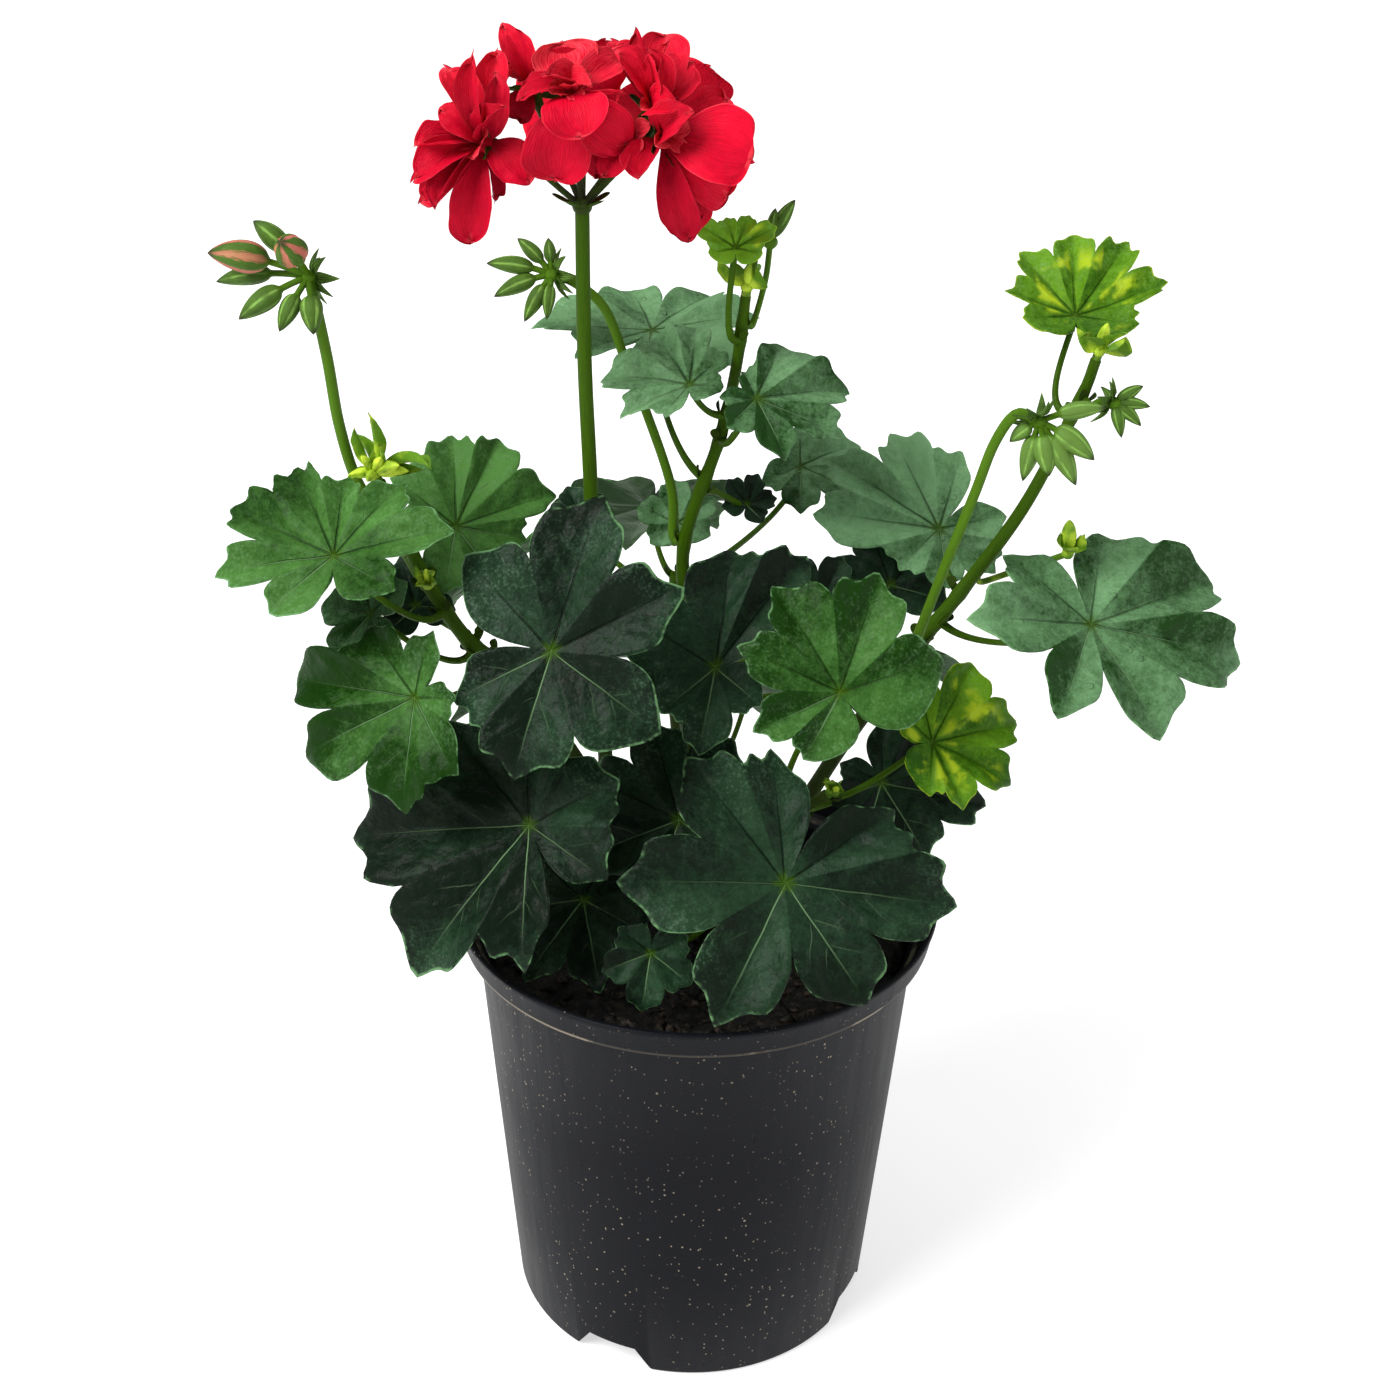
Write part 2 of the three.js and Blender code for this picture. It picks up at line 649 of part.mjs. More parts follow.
// Flower head: eight double florets on pedicels from one umbel. The six in front are set petal by petal: tip,
// width, spin, bow and cup. The two behind have one whorl of petals each.
const UMBEL = [-31, 0, 335];
const HEAD_FACING = [0, -0.89, 0.46];
const PETAL_WHORL = { length: 21, width: 16, open: [42, 98], cup: 0.18, setback: 1.6, twist: 0.28 };
const WHORL_COUNT = 5;
const PETAL_RUFFLE = 0.2;
const florets = {
  left: {
    at: [-51, -2.5, 350], axis: [-0.85, -0.4, 0.2],
    petals: [
      [[-69, -10, 352], 7, 25, 0.08, 0.35],
      [[-70, -13, 345], 9, 15, 0.1, 0.25], [[-70, -6, 337], 7, -10, 0.1, 0.2],
      [[-65, -15, 340], 6, 30, 0.12, 0.4], [[-58, -10, 329], 10.5, 5, 0.1, 0.3],
      [[-51, -5, 337], 4, -30, 0.05, 0.5], [[-43, -11, 344], 11.5, -15, 0.12, 0.2],
      [[-63, -7, 359], 9, 10, 0.15, 0.25], [[-62, -3, 368], 8.5, 15, 0.1, 0.3],
      [[-56, -9, 371], 6.5, -25, 0.12, 0.4], [[-51, 0, 371], 8, 0, 0.05, 0.3],
      [[-50, -10, 366], 6.5, 30, 0.12, 0.5], [[-47, 4, 370], 6.5, -35, 0.05, 0.4],
    ],
  },
  upper_left: {
    at: [-42, 5.7, 359], axis: [-0.35, 0.1, 0.9],
    petals: [
      [[-49, 4, 376], 7.5, 10, 0.1, 0.3], [[-47, 4, 355], 8, 0, 0.15, 0.2],
      [[-31, 13, 367], 9, 0, 0.1, 0.25], [[-32, -2, 371], 8, 10, 0.1, 0.3],
    ],
  },
  middle: {
    at: [-33, -5, 360.3], axis: [0.05, -0.6, 0.8],
    petals: [
      [[-35, -1, 374], 16, 0, -0.05, 0.15], [[-44, -13, 364], 7, 35, 0.15, 0.3],
      [[-30, -20, 357], 16, 0, 0.22, 0.12], [[-37, -11, 344], 16.5, 0, 0.12, 0.2],
      [[-20, -12, 352], 13, 10, 0.15, 0.2], [[-21, -3, 371], 9, -15, 0.05, 0.35],
      [[-38, -13, 369], 5.5, 40, 0.2, 0.6],
      [[-29, -13, 367], 6, -40, 0.2, 0.6],
    ],
  },
  upper_right: {
    at: [-14, -2, 355], axis: [0.3, -0.3, 0.9],
    petals: [
      [[-21, -9, 373], 8, 30, 0.08, 0.4], [[-18, -4, 378], 5.5, -20, 0.05, 0.5],
      [[-11, 3, 376], 13, 0, 0.05, 0.2], [[-5, -1, 370], 12, -10, 0.1, 0.2],
      [[-14, -10, 374], 5.5, 45, 0.1, 0.7], [[-14, 20, 359], 8, 0, 0.1, 0.2],
      [[-8, -14, 362], 8, 0, 0.25, 0.3], [[-23, 4, 374], 8, 15, 0.05, 0.3],
    ],
  },
  right: {
    at: [-13.4, -5, 352], axis: [0.7, -0.6, 0.3],
    petals: [
      [[10, -13, 350], 19.5, -5, 0.14, 0.15], [[4, -2, 362], 9, 0, 0.1, 0.2],
      [[5, -7, 340], 13, 5, 0.1, 0.2], [[-5, -9, 330], 9.5, 10, 0.12, 0.35],
      [[-1, -6, 332], 5.5, -35, 0.08, 0.5], [[-6, -16, 361], 9, -15, 0.2, 0.4],
      [[-17, -14, 346], 8.5, 25, 0.15, 0.4],
    ],
  },
  low_right: {
    at: [-19, -2, 352], axis: [0, -0.9, 0.3],
    petals: [[[-25, -12, 346], 9.5, 10, 0.12, 0.3], [[-28, -6, 344], 6, 0, 0.1, 0.3],
      [[-31, -9, 357], 8, 0, 0.1, 0.2]],
  },
  back: { at: [-31, 13, 350], axis: [0.05, 0.9, 0.4], turn: 15, size: 1 },
  back_right: { at: [-14, 12, 350], axis: [0.6, 0.75, 0.25], turn: 40, size: 0.95 },
};
const CALYX_RADIUS = 1.9;
const CORE_RADIUS = 3;
const PEDICEL_RADIUS = 0.85;
const PEDICEL_CLEARANCE = 0.3;

function pedicelCurve(from, to, axis) {
  const reach = vec(from).distanceTo(vec(to));
  return new THREE.CubicBezierCurve3(
    vec(from),
    vec(from).lerp(vec(to), 0.35),
    vec(to).addScaledVector(vec(axis).normalize(), -0.25 * reach),
    vec(to),
  );
}

const pedicelRadius = (s) => PEDICEL_RADIUS + (CALYX_RADIUS - PEDICEL_RADIUS) * s ** 5;
function pedicel({ at, axis }, clearance = 0) {
  return tube(pedicelCurve(UMBEL, at, axis), (s) => pedicelRadius(s) + clearance, [0, 0.5, 0.85, 1], 5);
}

function floretPetals({ at, axis, petals, turn, size }) {
  const heart = vec(at).addScaledVector(vec(axis).normalize(), GAP + CORE_RADIUS).toArray();
  const core = knot(heart, CORE_RADIUS);
  if (petals) {
    return [core, ...petals.map((shape) => placedPetal(heart, shape))];
  }
  const whorl = Array.from({ length: WHORL_COUNT }, (_, k) =>
    petal({
      ...PETAL_WHORL,
      root: heart,
      axis,
      turn: turn + (360 * k) / WHORL_COUNT,
      length: PETAL_WHORL.length * size,
      width: PETAL_WHORL.width * size,
      ruffle: PETAL_RUFFLE,
      stations: PETAL_STATIONS,
    }),
  );
  return [core, ...whorl];
}

// The petals stand clear of every pedicel that passes between them
const petalHead = solidOf(join(Object.values(florets).flatMap(floretPetals)));
const pedicelRoom = solidOf(join(Object.values(florets).map((floret) => pedicel(floret, PEDICEL_CLEARANCE))));
addPiece("flower_head", geometryOf(petalHead.subtract(pedicelRoom)), "petal");

const STALK_RADIUS = 2.1;
const STALK_TAPER = 0.3;
const BRACT_COUNT = 5;
const BRACT = { axis: [0, 0, 1], open: [75, 60], length: 8, width: 3, ruffle: 0 };
const stalkPoints = [[-27, 8, 182], [-29, 6, 220], [-30, 5, 261], [-31, 2, 296], UMBEL];
const stalkCurve = branchRoute(["left", 3], stalkPoints).curve;
const stalkPieces = [tube(stalkCurve, (s) => STALK_RADIUS - STALK_TAPER * s, even(8), 6), knot(UMBEL, 2.6)];
stalkPieces.push(...Object.values(florets).map((floret) => pedicel(floret)));
for (let k = 0; k < BRACT_COUNT; k += 1) {
  stalkPieces.push(petal({ ...BRACT, root: UMBEL, turn: (360 * k) / BRACT_COUNT + 10 }));
}
addPiece("flower_stalk", join(stalkPieces), "stem");

// Bud heads: each a peduncle from a stem, a knot at its end, and buds on short pedicels
const BUD_STATIONS = [0, 0.34, 0.5, 0.72, 1];
const BUD_SHAPE = [0, 0, 0.86, 0.92, 0.1];
const BUD_STALK = 0.8;
const BUD_SIDES = 5;
const BUD_BOW = 0.12;
const CROWN_RADIUS = 2.2;
const budHeads = {
  left: {
    from: ["left", 6],
    points: [[-84, 7, 246], [-92, 8, 258], [-96, 8, 274], [-98, 8, 293], [-101, 8, 314]],
    radius: 1.5,
    buds: [
      [[-125, 3, 320], 4.1], [[-114, 8, 327], 2.8], [[-105, -4, 325], 4.2], [[-126, 9, 310], 2.6],
      [[-119, 0, 301], 3], [[-108, 0, 297], 2.5], [[-99, -2, 297], 3],
    ],
  },
  middle: {
    from: ["centre", 5],
    points: [[-9, 21, 254], [-16, 27, 273], [-21, 28, 285], [-27, 28, 301], [-35, 28, 308], [-41, 28, 310]],
    radius: 1.3,
    buds: [
      [[-58, 27, 313], 2.4], [[-56, 24, 305], 2.4], [[-48, 22, 299], 2.3], [[-42, 21, 300], 1.8],
      [[-50, 30, 319], 2], [[-42, 31, 319], 1.7],
    ],
  },
  right: {
    from: ["right", 4.3],
    points: [[59, 1, 219], [65, -1, 242], [71, -1, 262], [75, -1, 276], [80, -1, 284], [86, -1, 282]],
    radius: 1.4,
    buds: [
      [[102, -4, 287], 1.9], [[100, -7, 274], 2.5], [[89, -6, 269], 2.6], [[96, -7, 267], 2.4],
      [[83, -2, 266], 2.1], [[79, 0, 276], 1.7],
    ],
  },
  small: {
    from: ["right", 7],
    points: [[105, 16, 282], [108, 14, 282]],
    radius: 1,
    buds: [[[115, 14, 287], 1.4], [[117, 12, 282], 1.4], [[115, 11, 277], 1.5], [[110, 10, 274], 1.5]],
  },
  crown: {
    from: ["centre", 7.6],
    points: [[15, 19, 312], [16, 19, 322]],
    radius: 0.8,
    buds: [[[22, 19, 333], 2], [[17, 18, 331], 1.6]],
  },
};

function budSolid(root, tip, radius) {
  const reach = vec(root).distanceTo(vec(tip));
  const curve = new THREE.QuadraticBezierCurve3(
    vec(root),
    vec(root).lerp(vec(tip), 0.45).addScaledVector(up, BUD_BOW * reach),
    vec(tip),
  );
  const radiusAt = (s) => radius * BUD_SHAPE[BUD_STATIONS.indexOf(s)] || BUD_STALK;
  return tube(curve, radiusAt, BUD_STATIONS, BUD_SIDES);
}

for (const [name, head] of Object.entries(budHeads)) {
  const route = branchRoute(head.from, head.points);
  const crown = head.points[head.points.length - 1];
  const pieces = [tube(route.curve, () => head.radius, even(8), 5), knot(crown, CROWN_RADIUS)];
  for (const [tip, radius] of head.buds) {
    pieces.push(budSolid(crown, tip, radius));
  }
  addPiece(`buds_${name}`, join(pieces), "bud");
}

// Shoots: young leaflets round a small knot, at the end of a stem or on a stalk of their own beside it
const SHOOT_KNOT = 2;
const SHOOT_STALK = 0.9;
const shoots = {
  left: {
    from: ["left", 8],
    leaflets: [
      [[-0.6, 0, 0.8], 14, 7], [[0.3, 0, 0.95], 19, 8], [[0.75, -0.1, 0.65], 19, 9],
      [[-0.7, -0.6, 0.3], 9, 7], [[0.9, -0.3, 0.3], 12, 7], [[0, 0.6, 0.8], 13, 8],
      [[0.1, -0.6, 0.75], 12, 7],
    ],
  },
  centre: {
    from: ["centre", 8],
    leaflets: [
      [[-0.85, 0.1, 0.5], 10, 5], [[0.6, -0.4, 0.7], 10, 8], [[-0.3, 0.4, 0.8], 9, 4],
      [[0.2, 0.4, 0.9], 9, 4],
    ],
  },
  right: {
    from: ["right", 8],
    leaflets: [
      [[0.7, -0.6, 0.4], 9, 8], [[-0.7, -0.5, 0.6], 9, 5], [[-0.1, -0.6, 0.8], 12, 5],
      [[0.35, -0.5, 0.8], 11, 4],
    ],
  },
  left_low: {
    from: ["left", 6.2],
    points: [[-73, -5, 235]],
    leaflets: [[[-0.5, -0.4, 0.7], 7, 4], [[0.5, -0.4, 0.7], 7, 4], [[0, -0.7, 0.5], 6, 4]],
  },
  front: {
    from: ["front", 5],
    leaflets: [[[-0.5, -0.4, 0.6], 6, 4], [[0.5, -0.4, 0.6], 6, 4], [[0, -0.3, 0.9], 7, 3]],
  },
  right_low: {
    from: ["right", 5.2],
    points: [[85, 16, 232], [93, 14, 236], [99, 9, 241]],
    leaflets: [[[-0.5, -0.4, 0.7], 8, 4], [[0.6, -0.2, 0.7], 9, 5], [[0.1, -0.6, 0.8], 8, 5]],
  },
};

for (const [name, { from, points, leaflets }] of Object.entries(shoots)) {
  const { route } = stems[from[0]];
  const pieces = [];
  let root = route.point(from[1]).addScaledVector(route.direction(from[1]), SHOOT_KNOT + GAP);
  if (points) {
    root = vec(points[points.length - 1]);
    pieces.push(tube(branchRoute(from, points).curve, () => SHOOT_STALK, even(4), 5));
  }
  pieces.push(knot(root.toArray(), SHOOT_KNOT));
  leaflets.forEach(([axis, length, width], k) => {
    const shape = { root: root.toArray(), axis, turn: 60 * k, open: [5, 25], length, width, cup: 0.45 };
    pieces.push(petal(shape));
  });
  addPiece(`shoot_${name}`, join(pieces), "youngLeaf");
}

// Pot: a thin tapering shell with a stepped rim band, and four slots cut through the foot and the base
function ring(radius, count, height) {
  return Array.from({ length: count }, (_, k) => {
    const turn = (2 * Math.PI * k) / count;
    return new THREE.Vector3(radius * Math.cos(turn), radius * Math.sin(turn), height);
  });
}

function turned(profile, sides) {
  const geometry = new THREE.LatheGeometry(profile.map(([r, z]) => new THREE.Vector2(r, z)), sides);
  return geometry.rotateX(Math.PI / 2);
}

const bandFoot = POT_HEIGHT - RIM_BAND_HEIGHT;
const potProfile = [
  [0, 0],
  [BASE_RADIUS - 1, 0],
  [BASE_RADIUS, 1],
  [LEDGE_RADIUS, bandFoot - 1],
  [RIM_RADIUS - RIM_BAND_TAPER - 1, bandFoot],
  [RIM_RADIUS - RIM_BAND_TAPER, bandFoot + 1],
  [RIM_RADIUS, POT_HEIGHT],
  [RIM_RADIUS - WALL, POT_HEIGHT],
  [RIM_RADIUS - RIM_BAND_TAPER - WALL - 0.6, bandFoot + 2],
  [LEDGE_RADIUS - WALL, bandFoot - 2],
  [BASE_RADIUS - WALL, BASE_THICKNESS],
  [0, BASE_THICKNESS],
];
function drainSlot(azimuth) {
  const width = 2 * BASE_RADIUS * Math.sin(rad(DRAIN_SPREAD / 2));
  const slant = DRAIN_HEIGHT * 0.6;
  const shape = new THREE.Shape([
    new THREE.Vector2(-width / 2 - 1, -1),
    new THREE.Vector2(width / 2 + 1, -1),
    new THREE.Vector2(width / 2 - slant, DRAIN_HEIGHT),
    new THREE.Vector2(-width / 2 + slant, DRAIN_HEIGHT),
  ]);
  const slot = new THREE.ExtrudeGeometry(shape, { depth: 2 * DRAIN_REACH, bevelEnabled: false });
  slot.rotateX(Math.PI / 2).translate(0, -(BASE_RADIUS - DRAIN_REACH), 0).rotateZ(rad(azimuth));
  return solidOf(slot);
}
const potShell = solidOf(turned(potProfile, POT_SIDES));
const slottedPot = DRAIN_SLOTS.reduce((shell, azimuth) => shell.subtract(drainSlot(azimuth)), potShell);
addPiece("pot", geometryOf(slottedPot), "pot");

// Soil: fills the pot to just under the rim band, lumpy on top, with a plain hole for each stem
function innerRadius(height) {
  const share = (height - BASE_THICKNESS) / (bandFoot - BASE_THICKNESS);
  return BASE_RADIUS - WALL + (LEDGE_RADIUS - BASE_RADIUS) * share;
}
const lump = (x, y) =>
  SOIL_LUMP * (Math.sin(0.31 * x + 1) * Math.cos(0.27 * y) + 0.5 * Math.sin(0.55 * x - 0.47 * y + 2));

function soilSolid() {
  const points = [];
  const triangles = [];
  const outer = innerRadius(SOIL_LEVEL - 3) - 2 * GAP;
  for (let r = 1; r <= SOIL_RINGS; r += 1) {
    for (const p of ring((outer * r) / SOIL_RINGS, SOIL_SIDES, SOIL_LEVEL)) {
      const rise = r === SOIL_RINGS ? -1.2 : lump(p.x, p.y);
      points.push(p.setZ(SOIL_LEVEL + rise));
    }
  }
  points.push(...ring(innerRadius(SOIL_SHOULDER_HEIGHT) - 2 * GAP, SOIL_SIDES, SOIL_SHOULDER_HEIGHT));
  points.push(...ring(SOIL_FOOT_RADIUS, SOIL_SIDES, BASE_THICKNESS + GAP));
  const rings = SOIL_RINGS + 2;
  for (let r = 0; r < rings - 1; r += 1) {
    for (let k = 0; k < SOIL_SIDES; k += 1) {
      const a = r * SOIL_SIDES + k;
      const b = r * SOIL_SIDES + ((k + 1) % SOIL_SIDES);
      triangles.push([a, a + SOIL_SIDES, b + SOIL_SIDES], [a, b + SOIL_SIDES, b]);
    }
  }
  const top = points.push(new THREE.Vector3(0, 0, SOIL_LEVEL + lump(0, 0))) - 1;
  const bottom = points.push(new THREE.Vector3(0, 0, BASE_THICKNESS + GAP)) - 1;
  const last = (rings - 1) * SOIL_SIDES;
  for (let k = 0; k < SOIL_SIDES; k += 1) {
    const next = (k + 1) % SOIL_SIDES;
    triangles.push([top, k, next], [bottom, last + next, last + k]);
  }
  return solidOf(meshOf(points, triangles));
}

function stemHole(stem) {
  const [x, y] = stem.points[0];
  const height = 40;
  const radius = stem.radius + 3 * GAP;
  const hole = new THREE.CylinderGeometry(radius, radius, height, 8).rotateX(Math.PI / 2);
  return solidOf(hole.translate(x, y, STEM_FOOT - GAP + height / 2));
}

const soil = Object.values(stems).reduce((body, stem) => body.subtract(stemHole(stem)), soilSolid());
addPiece("soil", geometryOf(soil), "soil");

export default plant;
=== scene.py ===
"""A potted ivy geranium: pot, soil, stems, leaves, flower head, bud heads and shoots, round its
solid model.

Shapes are worked out in millimetres, with +Z up and the front at -Y, and go into the meshes in
metres.
"""

import bpy
import numpy as np
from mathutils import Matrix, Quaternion, Vector


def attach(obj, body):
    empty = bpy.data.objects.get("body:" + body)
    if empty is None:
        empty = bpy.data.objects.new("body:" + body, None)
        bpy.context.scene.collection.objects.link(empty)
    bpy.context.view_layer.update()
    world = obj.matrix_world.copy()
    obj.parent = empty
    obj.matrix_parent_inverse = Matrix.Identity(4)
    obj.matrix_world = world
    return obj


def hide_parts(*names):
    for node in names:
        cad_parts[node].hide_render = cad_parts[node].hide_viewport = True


bl_info = {
    "name": "Potted ivy geranium",
    "version": (1, 0, 0),
    "blender": (4, 5, 0),
    "location": "View3D > Sidebar > Geranium",
    "description": "Builds a potted ivy geranium round its solid model",
    "category": "Add Mesh",
}

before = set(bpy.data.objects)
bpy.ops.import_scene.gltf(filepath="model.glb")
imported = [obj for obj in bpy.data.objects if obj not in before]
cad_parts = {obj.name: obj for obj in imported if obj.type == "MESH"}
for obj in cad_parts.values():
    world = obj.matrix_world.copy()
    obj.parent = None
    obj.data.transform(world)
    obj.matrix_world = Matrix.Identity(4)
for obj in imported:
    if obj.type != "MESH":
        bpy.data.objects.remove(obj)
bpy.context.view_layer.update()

MM = 0.001
TURN = 2 * np.pi
UP = np.array([0.0, 0.0, 1.0])

# The solid model's sizes, in millimetres
POT_HEIGHT = 137.0
RIM_RADIUS = 70.0
BAND_FOOT = 128.4
BAND_TAPER = 1.4
LEDGE_RADIUS = 64.0
BASE_RADIUS = 54.4
WALL = 1.6
BASE_THICKNESS = 2.0
DRAIN_SLOTS = (-25, 65, 155, 245)
DRAIN_SPREAD = 26.0
DRAIN_HEIGHT = 7.8
DRAIN_REACH = 12.0
SOIL_LEVEL = 123.0
SOIL_LUMP = 1.3
SOIL_FOOT_RADIUS = 38.0
SOIL_SHOULDER_HEIGHT = 10.0
GAP = 0.35
STEM_TAPER = 1.5
BASAL_CUT = 0.14
UMBEL = np.array([-31.0, 0.0, 335.0])
# LIGHT_FROM: the way to the light that the leaves' painted fold light and shade is worked out from
LIGHT_FROM = np.array([-0.5, -0.35, 0.8])

# Finer sizes, in millimetres or as shares. The wall's points are radius and height.
WALL_BULGE = ((57.4, 40), (60.6, 82))
SOIL_FOOT_HEIGHT = 2.35
CRUMB_REACH = 58
CHIP_SHARE = 0.35
CHIP_STRETCH = np.array([2.6, 1.1, 0.5])
CRUMB_STRETCH = np.array([1.2, 1, 0.8])
STEM_ROWS = 90
NODE_SWELL = 0.3
NODE_REACH = 2.2
LEAF_DROOP = 0.08
LEAF_FOLD = 0.19
LEAF_WAVE = 0.05
LEAF_PUCKER = 0.4
RIM_CURL = 0.025
STALK_RADIUS = 0.85
CLAW_SHARE = 0.14
BUD_RIDGES = 5
BUD_GROOVE = 0.13
BUD_SWELL = 2.378
OPENING_BUD = 4

# Materials: the length that one unit of a leaf's UV map stands for and the space between its side
# veins, in millimetres, and three heights in metres
UV_MM = 100
SIDE_VEIN_SPACING = 7.7
FRESH_ABOVE = 0.235
WOODY_BELOW = 0.135
# The height of the pale ledge line, a painted highlight
LEDGE_LINE_HEIGHT = 0.1289

# The stage: places and sizes in metres, sensor and lens in millimetres, and the roll in degrees
SENSOR_WIDTH = 36.0
FOCAL_LENGTH = 51.17
CAMERA_PLACE = (0.0, -0.4883, 0.4543)
CAMERA_AIM = (0.0, 0.0, 0.199)
CAMERA_ROLL = 1.0
LAMP_AIM = (0, 0, 0.2)
FLOOR_REACH = 9
FLOOR_DEPTH = 0.0004


def unit(vectors):
    """Vectors scaled to length one."""
    vectors = np.asarray(vectors, float)
    return vectors / np.linalg.norm(vectors, axis=-1, keepdims=True)


def turned(vector, axis, degrees):
    """A vector square to a unit axis, turned round it."""
    angle = np.radians(degrees)
    return vector * np.cos(angle) + np.cross(axis, vector) * np.sin(angle)


# Each stem: points from its foot in the soil up, its radius there and its radius at the tip
STEMS = {
    "centre": ([[0, 16, 98], [0, 16, 112], [0, 16, 126], [-3, 14, 170], [-4, 13, 217],
                [-5, 15, 240], [4, 15, 270], [8, 15, 290], [10, 15, 309]], 2.2, 1.4),
    "left": ([[-14, 10, 98], [-14, 10, 112], [-14.5, 10, 126], [-31, 7, 168], [-51, 3, 203],
              [-63, 2, 214], [-74, 2, 232], [-81, 4, 248], [-86, 5, 260]], 2.5, 1.7),
    "right": ([[15, 14, 98], [15, 14, 112], [16, 14, 126], [38, 11, 174], [57, 10, 207],
               [71, 11, 228], [87, 14, 253], [100, 20, 281], [103, 20, 292]], 2.4, 1.5),
    "front": ([[3, -8, 98], [3, -8, 112], [3, -8, 126], [8, -12, 148], [20, -17, 168],
               [35, -20, 181]], 2.2, 1.4),
    "back": ([[-3, 34, 98], [-3, 34, 112], [-3, 34, 126], [-6, 42, 158], [-9, 47, 190],
              [-8, 50, 214]], 2.3, 1.5),
}


class Leaf:
    """A leaf: where its stalk meets the blade, which way the upper face looks (facing: 0 is the
    front and 90 the plant's right), its tilt from level, the turn of its middle lobe from downhill,
    the stem and place that it grows from, its tone from dark 0 to light 1, and its lobes: angle,
    length and, where it is known, the length of the cut after it."""

    def __init__(self, at, facing, tilt, turn, source, finish, tone, lobes, cut=0.5, cup=0.05):
        self.at = np.array(at, float)
        self.source, self.finish, self.tone = source, finish, tone
        self.lobes, self.cut, self.cup = lobes, cut, cup
        self.size = np.mean([lobe[1] for lobe in lobes])
        a, t = np.radians([facing, tilt])
        self.normal = np.array([np.sin(t) * np.sin(a), -np.sin(t) * np.cos(a), np.cos(t)])
        down = np.array([np.cos(t) * np.sin(a), -np.cos(t) * np.cos(a), -np.sin(t)])
        self.ahead = turned(down, self.normal, turn)
        self.left = np.cross(self.normal, self.ahead)


